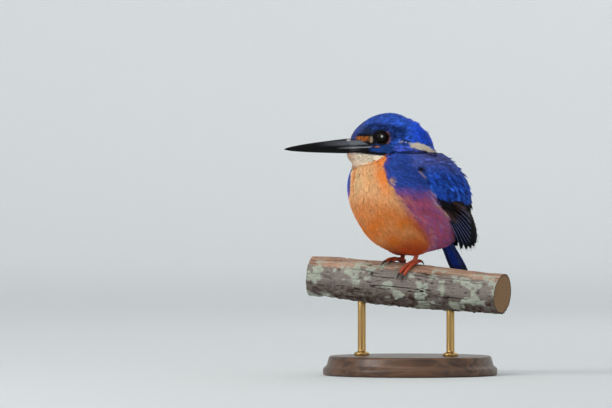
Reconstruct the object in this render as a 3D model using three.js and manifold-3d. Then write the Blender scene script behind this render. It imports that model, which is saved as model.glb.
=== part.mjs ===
// An azure kingfisher, hunched and fluffed on a cut length of branch that a plain display stand holds up.
// Millimetres, +Z up. The origin is the centre of the stand's underside.
// The bird is worked out in its own frame: +X is where its breast points, +Y is its left, +Z is up, and
// the zero is the top of the branch between its feet. The head has a frame of its own, turned on the neck.
import * as THREE from "three";
import { mergeVertices } from "three/addons/utils/BufferGeometryUtils.js";
import Module from "manifold-3d";

const wasm = await Module();
wasm.setup();

const { sin, cos, sqrt, abs, max, min, PI } = Math;
const V = (x, y, z) => new THREE.Vector3(x, y, z);
const deg = THREE.MathUtils.degToRad;
const mix = THREE.MathUtils.lerp;
const ease = THREE.MathUtils.smoothstep;
const GAP = 0.3;

// ---------------------------------------------------------------- driving sizes

const BIRD_YAW = 210; // where the breast points, in degrees about +Z from the part's +X
const HEAD_TURN = -18; // the head looks this far to the bird's right of its breast
const HEAD_AT = V(12.7, 0, 77); // centre of the skull
const BILL = {
  root: 15, // where the horn starts, inside the face
  tip: 68.5, // from the skull's centre to the bill's tip
  level: -6.0, // height of the line where the mandibles meet
  droop: 2.1, // degrees that the bill points below level
  upper: 5.6, // height of the upper mandible at the forehead
  lower: 3.8, // depth of the lower one at the chin
  taper: 0.55, // 1 tapers evenly to the tip, less keeps the bill stout for longer
  width: 9.6,
};
const EYE = { at: V(9.6, 10.15, 0), radius: 4.2 };
const NECK = {
  chin: 56.5, // height where the head is parted at the front
  nape: 68.5, // and at the back
  run: 48, // how far apart those two places are
  length: 7,
  long: 21, // half of its oval section, front to back
  wide: 13.5, // and across
};
const WING_SHELL = 3; // thickness of the folded wing's feathered shell
const FLIGHT = { count: 6, width: 9, thickness: 1.3 };
const TAIL = { count: 5, length: 33, width: 8.6, thickness: 0.8, fan: 12 };
const PERCH = { radius: 14, length: 126, yaw: -20, slope: 5, top: 70, middle: V(-2.6, -1.5, 0) };
const TOE = { radius: 1.15, length: 11.5, hind: 7, claw: 4.2 };
const STAND = { radius: 54, height: 12, rod: 2.5, rodSpread: 29, rodSink: 9 };

// ---------------------------------------------------------------- the plump body, as blended ellipsoids

// Distance from an ellipsoid whose long axis is pitched up by tilt and turned by turn, in degrees.
function lump(centre, radii, tilt = 0, turn = 0) {
  const into = new THREE.Matrix4()
    .makeTranslation(...centre)
    .multiply(new THREE.Matrix4().makeRotationZ(deg(turn)))
    .multiply(new THREE.Matrix4().makeRotationY(deg(-tilt)))
    .invert();
  const [a, b, c] = radii;
  return (p) => {
    const q = p.clone().applyMatrix4(into);
    const near = V(q.x / a, q.y / b, q.z / c).length();
    const slope = V(q.x / a / a, q.y / b / b, q.z / c / c).length();
    return slope < 1e-9 ? -min(a, b, c) : (near * (near - 1)) / slope;
  };
}

// The smaller of two distances, with the corner between them rounded over about k.
function blend(a, b, k) {
  const h = max(k - abs(a - b), 0) / k;
  return min(a, b) - (h * h * k) / 4;
}

const blended = (lumps, k) => (p) => lumps.map((f) => f(p)).reduce((a, b) => blend(a, b, k));

const pair = (centre, radii, tilt = 0, turn = 0) => [
  lump(centre, radii, tilt, turn),
  lump([centre[0], -centre[1], centre[2]], radii, tilt, -turn),
];

const bodyForm = blended(
  [
    lump([1.2, 0, 43.5], [40.3, 25.5, 33], 50), // barrel
    lump([12.2, 0, 43.5], [28.8, 25, 30]), // breast
    lump([4, 0, 25], [26, 22, 19]), // belly
    lump([-16, 0, 29], [22, 15.5, 15.5], 50), // rump
    lump([-5.9, 0, 53.6], [26.9, 22, 12.5], 23), // mantle
    ...pair([-14.4, 14.1, 45.7], [26.6, 12.2, 17], 42, 12), // folded wings
    ...pair([2, 9, 13], [8, 7, 8]), // feathered thighs
  ],
  7,
);

const headForm = blended(
  [
    lump([1, 0, 0], [21, 14.4, 15.6]), // skull
    lump([-8.5, 0, -6], [17, 15, 12.5], -14), // nape
    lump([14.5, 0, -3], [12, 8.8, 9.6], -12), // face
    lump([12, 0, -1], [14, 4.6, 11], -15), // forehead
    lump([15.5, 0, -12], [13.5, 9.5, 7.5], 10), // throat
    ...pair([1, 7.2, -8], [15, 8.8, 7.5]), // cheeks
  ],
  4,
);

const headFrame = new THREE.Matrix4()
  .makeTranslation(HEAD_AT)
  .multiply(new THREE.Matrix4().makeRotationZ(deg(HEAD_TURN)));
const intoHead = headFrame.clone().invert();
const headInBird = (p) => headForm(p.clone().applyMatrix4(intoHead));
const wholeForm = (p) => blend(bodyForm(p), headInBird(p), 3);

// ---------------------------------------------------------------- making geometry

// A three.js geometry as one shared set of corners, without normals or a texture map.
function welded(geometry) {
  geometry.deleteAttribute("normal");
  geometry.deleteAttribute("uv");
  return mergeVertices(geometry, 1e-4);
}

// A three.js geometry with every corner moved by place(point).
function moved(geometry, place) {
  const whole = welded(geometry);
  const at = whole.attributes.position;
  const p = V(0, 0, 0);
  for (let i = 0; i < at.count; i++) {
    const q = place(p.fromBufferAttribute(at, i).clone());
    at.setXYZ(i, q.x, q.y, q.z);
  }
  return whole;
}

function solid(geometry) {
  const { attributes, index } = welded(geometry);
  return new wasm.Manifold(
    new wasm.Mesh({
      numProp: 3,
      vertProperties: attributes.position.array,
      triVerts: new Uint32Array(index.array),
    }),
  );
}

function geometryOf(manifold) {
  const { numProp, vertProperties, triVerts } = manifold.getMesh();
  const count = vertProperties.length / numProp;
  const at = new Float32Array(count * 3);
  for (let i = 0; i < count; i++) {
    at.set(vertProperties.subarray(i * numProp, i * numProp + 3), i * 3);
  }
  const geometry = new THREE.BufferGeometry();
  geometry.setAttribute("position", new THREE.BufferAttribute(at, 3));
  geometry.setIndex(new THREE.BufferAttribute(triVerts, 1));
  geometry.computeVertexNormals();
  return geometry;
}

const joined = (geometries) => geometries.map(solid).reduce((a, b) => a.add(b));

// The surface where form equals level, seen from centre, as a sphere whose corners are pushed out to it.
// The sphere's poles lie along pole, and no corner goes further than reach.
function ballOn(form, centre, level, pole, around, down, reach) {
  const turn = new THREE.Quaternion().setFromUnitVectors(V(0, 1, 0), pole.clone().normalize());
  return moved(new THREE.SphereGeometry(1, around, down), (d) => {
    d.applyQuaternion(turn).normalize();
    const at = (r) => centre.clone().addScaledVector(d, r);
    let far = 1;
    while (far < reach && form(at(far)) < level) far += 1;
    let near = far - 1;
    for (let i = 0; i < 18; i++) {
      const half = (near + far) / 2;
      if (form(at(half)) < level) near = half;
      else far = half;
    }
    return at(min(far, reach));
  });
}

// A closed tube of sections: section(t, angle) is a point, for t from 0 to 1.
function loft(section, sides, steps) {
  const tube = new THREE.CylinderGeometry(1, 1, 1, sides, steps);
  return moved(tube, (p) => {
    const t = p.y + 0.5;
    const middle = section(t, 0).add(section(t, PI)).multiplyScalar(0.5);
    const away = sqrt(p.x * p.x + p.z * p.z);
    return away < 0.5 ? middle : section(t, Math.atan2(-p.x, p.z));
  });
}

// A round tube along a curve, radiusAt(t) thick.
function limb(curve, radiusAt, sides, steps) {
  return loft(
    (t, angle) => {
      const along = curve.getTangentAt(t);
      const side = V(0, 0, 1).cross(along).normalize();
      const up = along.clone().cross(side);
      return curve
        .getPointAt(t)
        .addScaledVector(side, radiusAt(t) * sin(angle))
        .addScaledVector(up, radiusAt(t) * cos(angle));
    },
    sides,
    steps,
  );
}

// A feather's vane: a thin plate from root to tip with a round end, lying across the way that out faces.
// bow lifts its middle along out, and the plate is thickest at its shaft.
function vane(root, tip, out, width, thickness, bow) {
  const along = tip.clone().sub(root).normalize();
  const side = out.clone().cross(along).normalize();
  const face = along.clone().cross(side);
  const plate = new THREE.BoxGeometry(1, 1, 1, 5, 2, 1);
  return moved(plate, (p) => {
    const t = p.x + 0.5;
    const round = sqrt(1 - ease(t, 0.7, 1.08) ** 2);
    const half = width * p.y * mix(0.55, 1, ease(t, 0, 0.35)) * round;
    const crown = 1 - 0.9 * p.y * p.y;
    return root
      .clone()
      .lerp(tip, t)
      .addScaledVector(side, half)
      .addScaledVector(face, bow * sin(PI * t) + thickness * (p.z + 0.5) * crown);
  });
}

// ---------------------------------------------------------------- cutting the whole into named pieces

const BIG = 200; // larger than the whole bird

// Everything on the side of a plane that normal points to, as a large box.
function halfSpace(point, normal) {
  const box = new THREE.BoxGeometry(BIG, BIG, BIG);
  box.translate(0, 0, BIG / 2);
  const turn = new THREE.Quaternion().setFromUnitVectors(V(0, 0, 1), normal.clone().normalize());
  return solid(moved(box, (p) => p.applyQuaternion(turn).add(point)));
}

const neckUp = V(NECK.nape - NECK.chin, 0, NECK.run)
  .normalize()
  .applyMatrix4(new THREE.Matrix4().makeRotationZ(deg(HEAD_TURN)));
const headCut = V(HEAD_AT.x, 0, (NECK.chin + NECK.nape) / 2);
const onNeck = (along) => headCut.clone().addScaledVector(neckUp, along);
const above = (along) => halfSpace(onNeck(along), neckUp);

// The neck's oval column between two heights along it, grown by more.
function neckColumn(low, high, more) {
  const side = neckUp.clone().cross(V(1, 0, 0)).normalize();
  const forward = side.clone().cross(neckUp);
  const frame = new THREE.Matrix4().makeBasis(forward, neckUp, side.negate());
  frame.setPosition(onNeck((low + high) / 2));
  const oval = new THREE.CylinderGeometry(1, 1, high - low, 24);
  oval.scale(NECK.long + more, 1, NECK.wide + more);
  return solid(oval.applyMatrix4(frame));
}

// The folded wing's outline seen from the bird's side, grown by more. side is 1 for the left wing and
// -1 for the right one.
function wingPrism(side, more) {
  const edge = new THREE.SplineCurve([
    new THREE.Vector2(10, 64),
    new THREE.Vector2(8, 56),
    new THREE.Vector2(1, 46),
    new THREE.Vector2(-9, 39.5),
    new THREE.Vector2(-22, 35),
    new THREE.Vector2(-34, 34),
    new THREE.Vector2(-48, 36),
  ]);
  const behind = [new THREE.Vector2(-48, 85), new THREE.Vector2(10, 85)];
  const centre = new THREE.Vector2(-14, 56);
  const reach = 40;
  const grown = [...edge.getPoints(11), ...behind].map((p) => {
    const away = p.clone().sub(centre);
    return p.clone().addScaledVector(away.normalize(), more);
  });
  const prism = new THREE.ExtrudeGeometry(new THREE.Shape(grown), {
    depth: reach,
    bevelEnabled: false,
  });
  const near = 5.5 - more; // the wings stop short of the middle of the back
  const start = side > 0 ? near + reach : -near;
  return solid(moved(prism, (p) => V(p.x, start - p.z, p.y)));
}

// ---------------------------------------------------------------- frames of the bird and the branch

const rotZ = (a) => new THREE.Matrix4().makeRotationZ(deg(a));
const birdFrame = new THREE.Matrix4().makeTranslation(0, 0, PERCH.top).multiply(rotZ(BIRD_YAW));
const perchFrame = new THREE.Matrix4()
  .makeTranslation(PERCH.middle.x, PERCH.middle.y, PERCH.top - PERCH.radius)
  .multiply(rotZ(PERCH.yaw))
  .multiply(new THREE.Matrix4().makeRotationY(deg(PERCH.slope)));
const perchToBird = birdFrame.clone().invert().multiply(perchFrame);

// A point on the branch in the bird's frame: along its axis, round it from its top, and off its surface.
const onPerch = (along, angle, off) => {
  const r = PERCH.radius + off;
  return V(along, r * sin(angle), r * cos(angle)).applyMatrix4(perchToBird);
};

// ---------------------------------------------------------------- the pieces

const pieces = new Map();

// The head's outline moved outwards by level, in the bird's frame.
function headBall(level) {
  const round = ballOn(headForm, V(0, 0, -3), level, V(1, 0, 0), 24, 16, 34);
  return solid(moved(round, (p) => p.applyMatrix4(headFrame)));
}

function addHead() {
  let head = headBall(0).intersect(above(GAP / 2));
  head = head.subtract(joined([mandible(1, GAP), mandible(-1, GAP)]));
  head = head.subtract(joined([eyeball(1, GAP), eyeball(-1, GAP)]));
  pieces.set("head", head);
}

function addNeck() {
  const ball = ballOn(wholeForm, onNeck(-NECK.length / 2), 0, neckUp, 28, 12, 48);
  pieces.set("neck", solid(ball).intersect(neckColumn(-NECK.length, -GAP / 2, 0)));
}

function eyeball(side, grow) {
  const ball = new THREE.SphereGeometry(EYE.radius + grow, 12, 8);
  const at = V(EYE.at.x, side * EYE.at.y, EYE.at.z);
  return moved(ball, (p) => p.add(at).applyMatrix4(headFrame));
}

// Half of the bill, up for the upper mandible: a ridge that tapers to the tip from a deep base.
function mandible(up, grow) {
  const { root, tip, level, droop, upper, lower, width, taper: power } = BILL;
  const depth = up > 0 ? upper : lower;
  const end = up > 0 ? tip : tip - 0.8;
  const section = (t, angle) => {
    const x = mix(root - grow, end + grow, t);
    const near = ease(x, root, 30);
    const left = (end + grow - x) / (end - 27);
    const tall = max(depth * min(1, left) ** power, 0.22) * mix(0.72, 1, near) + grow;
    const wide = max((width / 2) * min(1, left) ** 0.8 * mix(1.08, 0.8, near), 0.3) + grow;
    const crest = max(0, cos(angle)); // 1 on the ridge, 0 where the mandibles meet
    const flat = GAP / 2 - grow;
    const z = cos(angle) > 0 ? mix(flat, tall, crest ** 0.9) : flat;
    const y = wide * Math.sign(sin(angle)) * abs(sin(angle)) ** 0.75;
    const slope = -sin(deg(droop)) * (x - 27);
    return V(x, y, level + slope + up * z);
  };
  const made = loft(section, 10, 7);
  if (up < 0) made.index.array.reverse();
  return moved(made, (p) => p.applyMatrix4(headFrame));
}

function addBillAndEyes() {
  pieces.set("bill_upper", solid(mandible(1, 0)));
  pieces.set("bill_lower", solid(mandible(-1, 0)));
  pieces.set("eye_left", solid(eyeball(1, 0)));
  pieces.set("eye_right", solid(eyeball(-1, 0)));
}

// The body's outline moved outwards by level.
const shell = (level, around = 28, down = 18) =>
  solid(ballOn(bodyForm, V(-2, 0, 40), level, V(1, 0, 1.2), around, down, 62));

function addTrunkAndWings(legs) {
  const whole = shell(0)
    .subtract(neckColumn(-NECK.length - GAP, 60, GAP))
    .subtract(headBall(GAP).intersect(above(0)));
  let trunk = whole.subtract(legs);
  const under = shell(-WING_SHELL, 20, 13);
  const deeper = shell(-WING_SHELL - GAP, 20, 13);
  for (const [name, side] of [
    ["wing_left", 1],
    ["wing_right", -1],
  ]) {
    pieces.set(name, whole.intersect(wingPrism(side, 0)).subtract(under));
    trunk = trunk.subtract(wingPrism(side, GAP).subtract(deeper));
  }
  pieces.set("trunk", trunk);
}

// The point at t of the smooth path that passes a, b and c at 0, a half and 1.
const through = (t, a, b, c) =>
  V(0, 0, 0)
    .addScaledVector(a, (1 - t) * (1 - 2 * t))
    .addScaledVector(b, 4 * t * (1 - t))
    .addScaledVector(c, t * (2 * t - 1));

// The long dark feathers of a folded wing: they come out from under the coverts and lie over the rump.
function addFlightFeathers() {
  const clear = shell(GAP);
  for (const [name, side] of [
    ["wing_left_flight", 1],
    ["wing_right_flight", -1],
  ]) {
    const blades = [];
    for (let i = 0; i < FLIGHT.count; i++) {
      const t = i / (FLIGHT.count - 1); // 0 is the lowest primary, 1 the upper tertial
      const root = V(mix(-12, -34.5, t), side * mix(23.5, 13, t), mix(36, 42, t));
      // the tips lie on an arc, the long primaries lowest
      const tip = through(t, V(-27.6, 13 * side, 7), V(-37.4, 10.3 * side, 8.5), V(-45.5, 4.8 * side, 18));
      const out = V(-0.46, side * 0.88, 0.08);
      blades.push(vane(root, tip, out, FLIGHT.width, FLIGHT.thickness, mix(2.4, 1.6, t)));
    }
    pieces.set(name, joined(blades).subtract(clear));
  }
}

function addTail() {
  const blades = [];
  const root = V(-23, 0, 19.2);
  for (let i = 0; i < TAIL.count; i++) {
    const s = (2 * i) / (TAIL.count - 1) - 1; // -1 is the bird's right, 1 its left
    const swing = deg(TAIL.fan * s);
    const start = root.clone().add(V(0, 3.5 * s, 0));
    const length = TAIL.length * (1 - 0.08 * s * s);
    const tip = start
      .clone()
      .add(V(-0.5 * length * cos(swing), length * sin(swing) * 0.8, -0.866 * length * cos(swing)));
    blades.push(vane(start, tip, V(-0.866, 0.12 * s, 0.5), TAIL.width, TAIL.thickness, -0.8));
  }
  pieces.set("tail", joined(blades).subtract(shell(GAP)));
}

// One foot: two toes forward, joined for much of their length, one toe back, and the shank above them.
function footPieces(name, side) {
  const middle = { along: 5.8 * side, angle: -0.33 * side };
  const skew = -0.4; // how far the toes run along the branch for each step across it
  const toes = [
    { key: "inner", way: -1, length: TOE.length, aside: 1.15 },
    { key: "outer", way: -1, length: TOE.length * 0.9, aside: -1.15 },
    { key: "hind", way: 1, length: TOE.hind, aside: 0 },
  ];
  const r = PERCH.radius;
  const route = (toe, from, to, lift) => {
    const points = [];
    for (let i = 0; i <= 4; i++) {
      const d = mix(from, to, i / 4);
      const spread = toe.aside * side * (1 + (0.5 * d) / toe.length);
      const along = middle.along + spread + (toe.way < 0 ? skew : 0.25) * d;
      points.push(onPerch(along, middle.angle + (toe.way * d) / r, lift(i / 4)));
    }
    return new THREE.CatmullRomCurve3(points);
  };
  const parts = [];
  for (const toe of toes) {
    const rest = TOE.radius + GAP;
    const curve = route(toe, -1, toe.length, () => rest);
    const knuckles = (t) => TOE.radius * (mix(1.1, 0.82, t) + 0.07 * cos(t * 5 * PI));
    parts.push(limb(curve, knuckles, 7, 5));
    const claw = route(toe, toe.length + GAP + 0.1, toe.length + TOE.claw, (t) =>
      mix(rest + 0.15, 0.45, t * t),
    );
    const horn = (t) => mix(0.78, 0.16, t);
    pieces.set(`${name}_claw_${toe.key}`, solid(limb(claw, horn, 6, 4)));
  }
  const heel = onPerch(middle.along, middle.angle, TOE.radius + GAP + 0.6);
  const knee = V(1.5, side * 9.5, 11);
  const bend = heel.clone().lerp(knee, 0.45).add(V(-1.2, 0, 0));
  const shank = new THREE.CatmullRomCurve3([heel, bend, knee]);
  const thick = (grow) => (t) => mix(1.35, 1.75, t * t) + grow;
  const leg = joined([...parts, limb(shank, thick(0), 8, 4)]);
  pieces.set(name, leg);
  const cap = new THREE.SphereGeometry(thick(0.7)(1), 12, 8).translate(...knee);
  return joined([limb(shank, thick(0.4), 8, 4), cap]);
}

// ---------------------------------------------------------------- branch and stand, in the part's frame

// The branch's radius: a little bent and knotty, never more than its full radius.
function barkRadius(x, angle) {
  const grain = 0.5 + 0.5 * sin(3 * angle + 0.06 * x + 1.1);
  const lumps = 0.5 + 0.5 * sin(0.11 * x + 2 * angle) * cos(0.05 * x - angle);
  const far = ease(abs(x), 18, 55);
  return PERCH.radius - (0.45 * grain + 0.6 * lumps) * (0.35 + 0.65 * far) - 0.8 * far;
}

// One of the two rods under the branch: it starts on the base and ends in a hole in the branch.
function rod(side, grow) {
  const start = STAND.height + GAP;
  const drop = side * STAND.rodSpread * sin(deg(PERCH.slope));
  const end = PERCH.top - 2 * PERCH.radius + STAND.rodSink - drop + grow;
  const post = new THREE.CylinderGeometry(STAND.rod + grow, STAND.rod + grow, end - start, 16);
  post.rotateX(PI / 2);
  const foot = V(side * STAND.rodSpread, 0, 0).applyMatrix4(rotZ(PERCH.yaw)).add(PERCH.middle);
  return post.translate(foot.x, foot.y, (start + end) / 2);
}

function addBranchAndStand() {
  const half = PERCH.length / 2;
  const branch = loft(
    (t, angle) => {
      const x = mix(-half, half, t);
      const r = barkRadius(x, angle);
      const cut = 1.5 * sin(angle) * (2 * t - 1) ** 3; // the saw cuts are a little askew
      return V(x + cut, r * sin(angle), r * cos(angle));
    },
    16,
    12,
  );
  const placed = solid(moved(branch, (p) => p.applyMatrix4(perchFrame)));
  pieces.set("perch", placed.subtract(joined([rod(1, GAP), rod(-1, GAP)])));
  pieces.set("stand_rod_left", solid(rod(-1, 0)));
  pieces.set("stand_rod_right", solid(rod(1, 0)));

  const { radius, height } = STAND;
  const edge = [
    [0, 0],
    [radius - 1, 0],
    [radius, 1],
    [radius, 4.2],
    [radius - 2.4, 6.4],
    [radius - 3.6, height - 1],
    [radius - 4.6, height],
    [0, height],
  ].map(([x, y]) => new THREE.Vector2(x, y));
  const base = new THREE.LatheGeometry(edge, 32);
  base.rotateX(PI / 2);
  pieces.set("stand_base", solid(base));
}

// ---------------------------------------------------------------- assembly

const finish = (color, roughness, metalness = 0) =>
  new THREE.MeshStandardMaterial({ color, roughness, metalness });
const blue = finish(0x1f3f9c, 0.6);
const orange = finish(0xc8703a, 0.75);
const cream = finish(0xd9c7a6, 0.75);
const dark = finish(0x15141c, 0.55);
const horn = finish(0x0d0c0d, 0.3);
const glossy = finish(0x120a07, 0.08);
const skin = finish(0xb5472a, 0.5);
const bark = finish(0x9b8778, 0.9);
const walnut = finish(0x4a2f1f, 0.4);
const brass = finish(0xb08d4a, 0.3, 1);

const finishOf = (name) => {
  if (name.includes("claw") || name.startsWith("bill")) return horn;
  if (name.startsWith("eye")) return glossy;
  if (name.endsWith("flight") || name === "tail") return dark;
  if (name.startsWith("leg")) return skin;
  if (name === "trunk") return orange;
  if (name === "neck") return cream;
  if (name === "perch") return bark;
  if (name === "stand_base") return walnut;
  if (name.startsWith("stand_rod")) return brass;
  return blue;
};

addHead();
addNeck();
addBillAndEyes();
const legRoom = footPieces("leg_left", 1).add(footPieces("leg_right", -1));
addTrunkAndWings(legRoom);
addFlightFeathers();
addTail();
addBranchAndStand();

const kingfisher = new THREE.Group();
const bird = new THREE.Group();
bird.applyMatrix4(birdFrame);
kingfisher.add(bird);
for (const [name, piece] of pieces) {
  const mesh = new THREE.Mesh(geometryOf(piece), finishOf(name));
  mesh.name = name;
  const fixed = name === "perch" || name.startsWith("stand");
  (fixed ? kingfisher : bird).add(mesh);
}

export default kingfisher;
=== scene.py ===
"""An azure kingfisher on a cut length of branch, held by a display stand.

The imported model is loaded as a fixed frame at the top. One operator makes each piece or group of like pieces,
a panel lists them, and main() calls them in order.

The bird is worked out in millimetres in its own frame: +X is where its breast points, +Y is its left, +Z is
up, and the zero is the top of the branch between its feet. The head has a frame of its own, turned on the
neck. Its flesh is a blend of ellipsoids, its skin lies a coat's depth inside them, and its feathers grow from
the skin out to them.
"""

import functools
import itertools
import math
from typing import NamedTuple

import bpy
import numpy as np
from bpy.props import FloatProperty, FloatVectorProperty, PointerProperty
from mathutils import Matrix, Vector
from mathutils.kdtree import KDTree


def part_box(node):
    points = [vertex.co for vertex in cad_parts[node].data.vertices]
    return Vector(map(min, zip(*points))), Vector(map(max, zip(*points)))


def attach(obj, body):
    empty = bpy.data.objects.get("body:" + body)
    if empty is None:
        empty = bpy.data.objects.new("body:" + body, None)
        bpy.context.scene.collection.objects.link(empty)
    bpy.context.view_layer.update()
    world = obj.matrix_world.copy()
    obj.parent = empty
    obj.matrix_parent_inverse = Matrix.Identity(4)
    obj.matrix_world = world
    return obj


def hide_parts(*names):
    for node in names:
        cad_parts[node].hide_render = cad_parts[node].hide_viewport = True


bl_info = {
    "name": "Kingfisher on a Branch",
    "version": (1, 0, 0),
    "blender": (4, 5, 0),
    "location": "View3D > Sidebar > Kingfisher",
    "description": "Builds a feathered azure kingfisher, its branch, its display stand and a studio stage",
    "category": "Object",
}

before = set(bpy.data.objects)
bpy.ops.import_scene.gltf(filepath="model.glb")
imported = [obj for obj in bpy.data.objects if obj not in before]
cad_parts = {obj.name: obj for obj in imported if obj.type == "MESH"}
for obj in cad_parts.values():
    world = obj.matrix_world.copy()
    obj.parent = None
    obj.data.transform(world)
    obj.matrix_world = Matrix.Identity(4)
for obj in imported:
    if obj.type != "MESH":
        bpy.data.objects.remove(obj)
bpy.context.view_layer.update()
MM = 0.001  # one millimetre in metres


# ---------------- frames of the bird


def turn_z(degrees):
    """The rotation by degrees about Z."""
    a = math.radians(degrees)
    return np.array([[math.cos(a), -math.sin(a), 0], [math.sin(a), math.cos(a), 0], [0, 0, 1]])


def turn_y(degrees):
    """The rotation by degrees about Y."""
    a = math.radians(degrees)
    return np.array([[math.cos(a), 0, math.sin(a)], [0, 1, 0], [-math.sin(a), 0, math.cos(a)]])


def box_mm(node):
    """The lowest and highest corner of a CAD node, in millimetres."""
    low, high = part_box(node)
    return np.array(low) / MM, np.array(high) / MM


def middle(node):
    """The middle of a CAD node's box, in millimetres."""
    low, high = box_mm(node)
    return (low + high) / 2


EYE_AT = np.array([9.6, 10.15, 0.0])  # the left eyeball's centre, in the head's frame
HEAD_TURN = -18  # the head looks this many degrees to the bird's right of its breast
HEAD_AT = np.array([12.7, 0, 77])  # centre of the skull, in the bird's frame

# The eyes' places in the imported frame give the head's frame, and with it the bird's.
EYE_LINE = middle("eye_left") - middle("eye_right")
HEAD_YAW = math.degrees(math.atan2(-EYE_LINE[0], EYE_LINE[1]))
HEAD_ROTATION = turn_z(HEAD_YAW)
HEAD_CENTRE = (middle("eye_left") + middle("eye_right")) / 2 - HEAD_ROTATION @ (EYE_AT * [1, 0, 1])
BIRD_ROTATION = turn_z(HEAD_YAW - HEAD_TURN)
BIRD_ORIGIN = HEAD_CENTRE - BIRD_ROTATION @ HEAD_AT
HEAD_IN_BIRD = turn_z(HEAD_TURN)


def bird_to_row(p):
    """Points of the bird's frame in the frame of the CAD, in millimetres."""
    return p @ BIRD_ROTATION.T + BIRD_ORIGIN


def row_to_bird(p):
    """Points of the CAD's frame in the bird's frame."""
    return (p - BIRD_ORIGIN) @ BIRD_ROTATION


def bird_to_head(p):
    """Points of the bird's frame in the head's frame."""
    return (p - HEAD_AT) @ HEAD_IN_BIRD


def head_to_bird(p):
    """Points of the head's frame in the bird's frame."""
    return p @ HEAD_IN_BIRD.T + HEAD_AT


# ---------------- the bird's form

# Each lump is an ellipsoid: centre, radii, and degrees that its long axis is pitched up and turned.
BODY_LUMPS = [
    ((1.2, 0, 43.5), (40.3, 25.5, 33), 50, 0),  # barrel
    ((12.2, 0, 43.5), (28.8, 25, 30), 0, 0),  # breast
    ((4, 0, 25), (26, 22, 19), 0, 0),  # belly
    ((-16, 0, 29), (22, 15.5, 15.5), 50, 0),  # rump
    ((-5.9, 0, 53.6), (26.9, 22, 12.5), 23, 0),  # mantle
    ((-14.4, 14.1, 45.7), (26.6, 12.2, 17), 42, 12),  # folded wings
    ((-14.4, -14.1, 45.7), (26.6, 12.2, 17), 42, -12),
    ((2, 9, 13), (8, 7, 8), 0, 0),  # feathered thighs
    ((2, -9, 13), (8, 7, 8), 0, 0),
    ((26.6, -14, 47.5), (7.2, 5.5, 10.5), 0, -28),  # puffed shoulder feathers of the far side
]
HEAD_LUMPS = [
    ((1, 0, 0), (21, 14.4, 15.6), 0, 0),  # skull
    ((-8.5, 0, -6), (17, 15, 12.5), -14, 0),  # nape
    ((14.5, 0, -3), (12, 8.8, 9.6), -12, 0),  # face
    ((12, 0, -1), (14, 4.6, 11), -15, 0),  # forehead
    ((15.5, 0, -12), (13.5, 9.5, 7.5), 10, 0),  # throat
    ((1, 7.2, -8), (15, 8.8, 7.5), 0, 0),  # cheeks
    ((1, -7.2, -8), (15, 8.8, 7.5), 0, 0),
]
BODY_BLEND = 7  # how widely the lumps of the body, those of the head, and the two of them run together
HEAD_BLEND = 4
NECK_BLEND = 3
BODY_MIDDLE = np.array([-2.0, 0, 40])  # a point well inside the body


def smooth_min(a, b, k):
    """The smaller of two distances, with the corner between them rounded over about k."""
    h = np.maximum(k - np.abs(a - b), 0) / k
    return np.minimum(a, b) - h * h * k / 4


def lump_distance(p, lump):
    """How far points p lie outside one ellipsoid, less than zero inside it."""
    centre, radii, tilt, turn = lump
    q = (p - np.array(centre)) @ (turn_z(turn) @ turn_y(-tilt))
    q = q / np.array(radii)
    near = np.linalg.norm(q, axis=1)
    slope = np.linalg.norm(q / np.array(radii), axis=1)
    return near * (near - 1) / np.maximum(slope, 1e-9)


def blended(p, lumps, k):
    """The distance from points p to several lumps that run into each other."""
    return functools.reduce(lambda a, b: smooth_min(a, b, k), (lump_distance(p, lump) for lump in lumps))


def body_form(p):
    """The distance from points p to the body without its head."""
    return blended(p, BODY_LUMPS, BODY_BLEND)


def head_form(p):
    """The distance from points p to the head."""
    return blended(bird_to_head(p), HEAD_LUMPS, HEAD_BLEND)


def whole_form(p):
    """The distance from points p to the whole flesh of the bird."""
    return smooth_min(body_form(p), head_form(p), NECK_BLEND)


def slope_of(form, p, step=0.05):
    """The outward direction of a form at points p, of length 1."""
    sides = [form(p + step * axis) - form(p - step * axis) for axis in np.eye(3)]
    n = np.stack(sides, axis=1)
    return n / np.maximum(np.linalg.norm(n, axis=1, keepdims=True), 1e-9)


def settle(form, p, level, rounds=2):
    """Moves points p onto form == level. Returns them and the outward direction there."""
    for _ in range(rounds):
        n = slope_of(form, p)
        p = p - (form(p) - level)[:, None] * n
    return p, n


def ramp(x, start, end):
    """0 at start and 1 at end, smooth between them. end may be the lower one."""
    t = np.clip((np.asarray(x, float) - start) / (end - start), 0, 1)
    return t * t * (3 - 2 * t)


def blob(x, z, at, radii, soft=0.35):
    """1 inside an ellipse in a side view, 0 outside, with a soft edge."""
    r = np.hypot((x - at[0]) / radii[0], (z - at[1]) / radii[1])
    return 1 - ramp(r, 1 - soft, 1 + soft)


def band(x, line, inner, outer):
    """1 within inner of a line, 0 beyond outer."""
    return 1 - ramp(np.abs(x - line), inner, outer)


def dent(x, z, at, radii):
    """A soft round hollow in a side view: 1 in its middle, falling away over its radii."""
    return np.exp(-(((x - at[0]) / radii[0]) ** 2) - ((z - at[1]) / radii[1]) ** 2)


def noise(p, grain, seed):
    """Smooth noise from -1 to 1 at points p, with cells as wide as grain, in the units of p."""
    q = p / grain + 1000
    cell = np.floor(q).astype(np.int64)
    f = q - cell
    f = f * f * (3 - 2 * f)
    total = np.zeros(len(p))
    for corner in itertools.product((0, 1), repeat=3):  # each corner's value is hashed from its place
        c = cell + corner
        h = (c[:, 0] * 73856093) ^ (c[:, 1] * 19349663) ^ (c[:, 2] * 83492791) ^ (seed * 40503)
        h = (((h & 0xFFFFFFFF) ^ ((h & 0xFFFFFFFF) >> 13)) * 1274126177) & 0xFFFFFFFF
        h = h ^ (h >> 16)
        value = (h & 0xFFFF) / 32767.5 - 1
        total += np.prod(np.where(corner, f, 1 - f), axis=1) * value
    return total


# ---------------- colours


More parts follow.
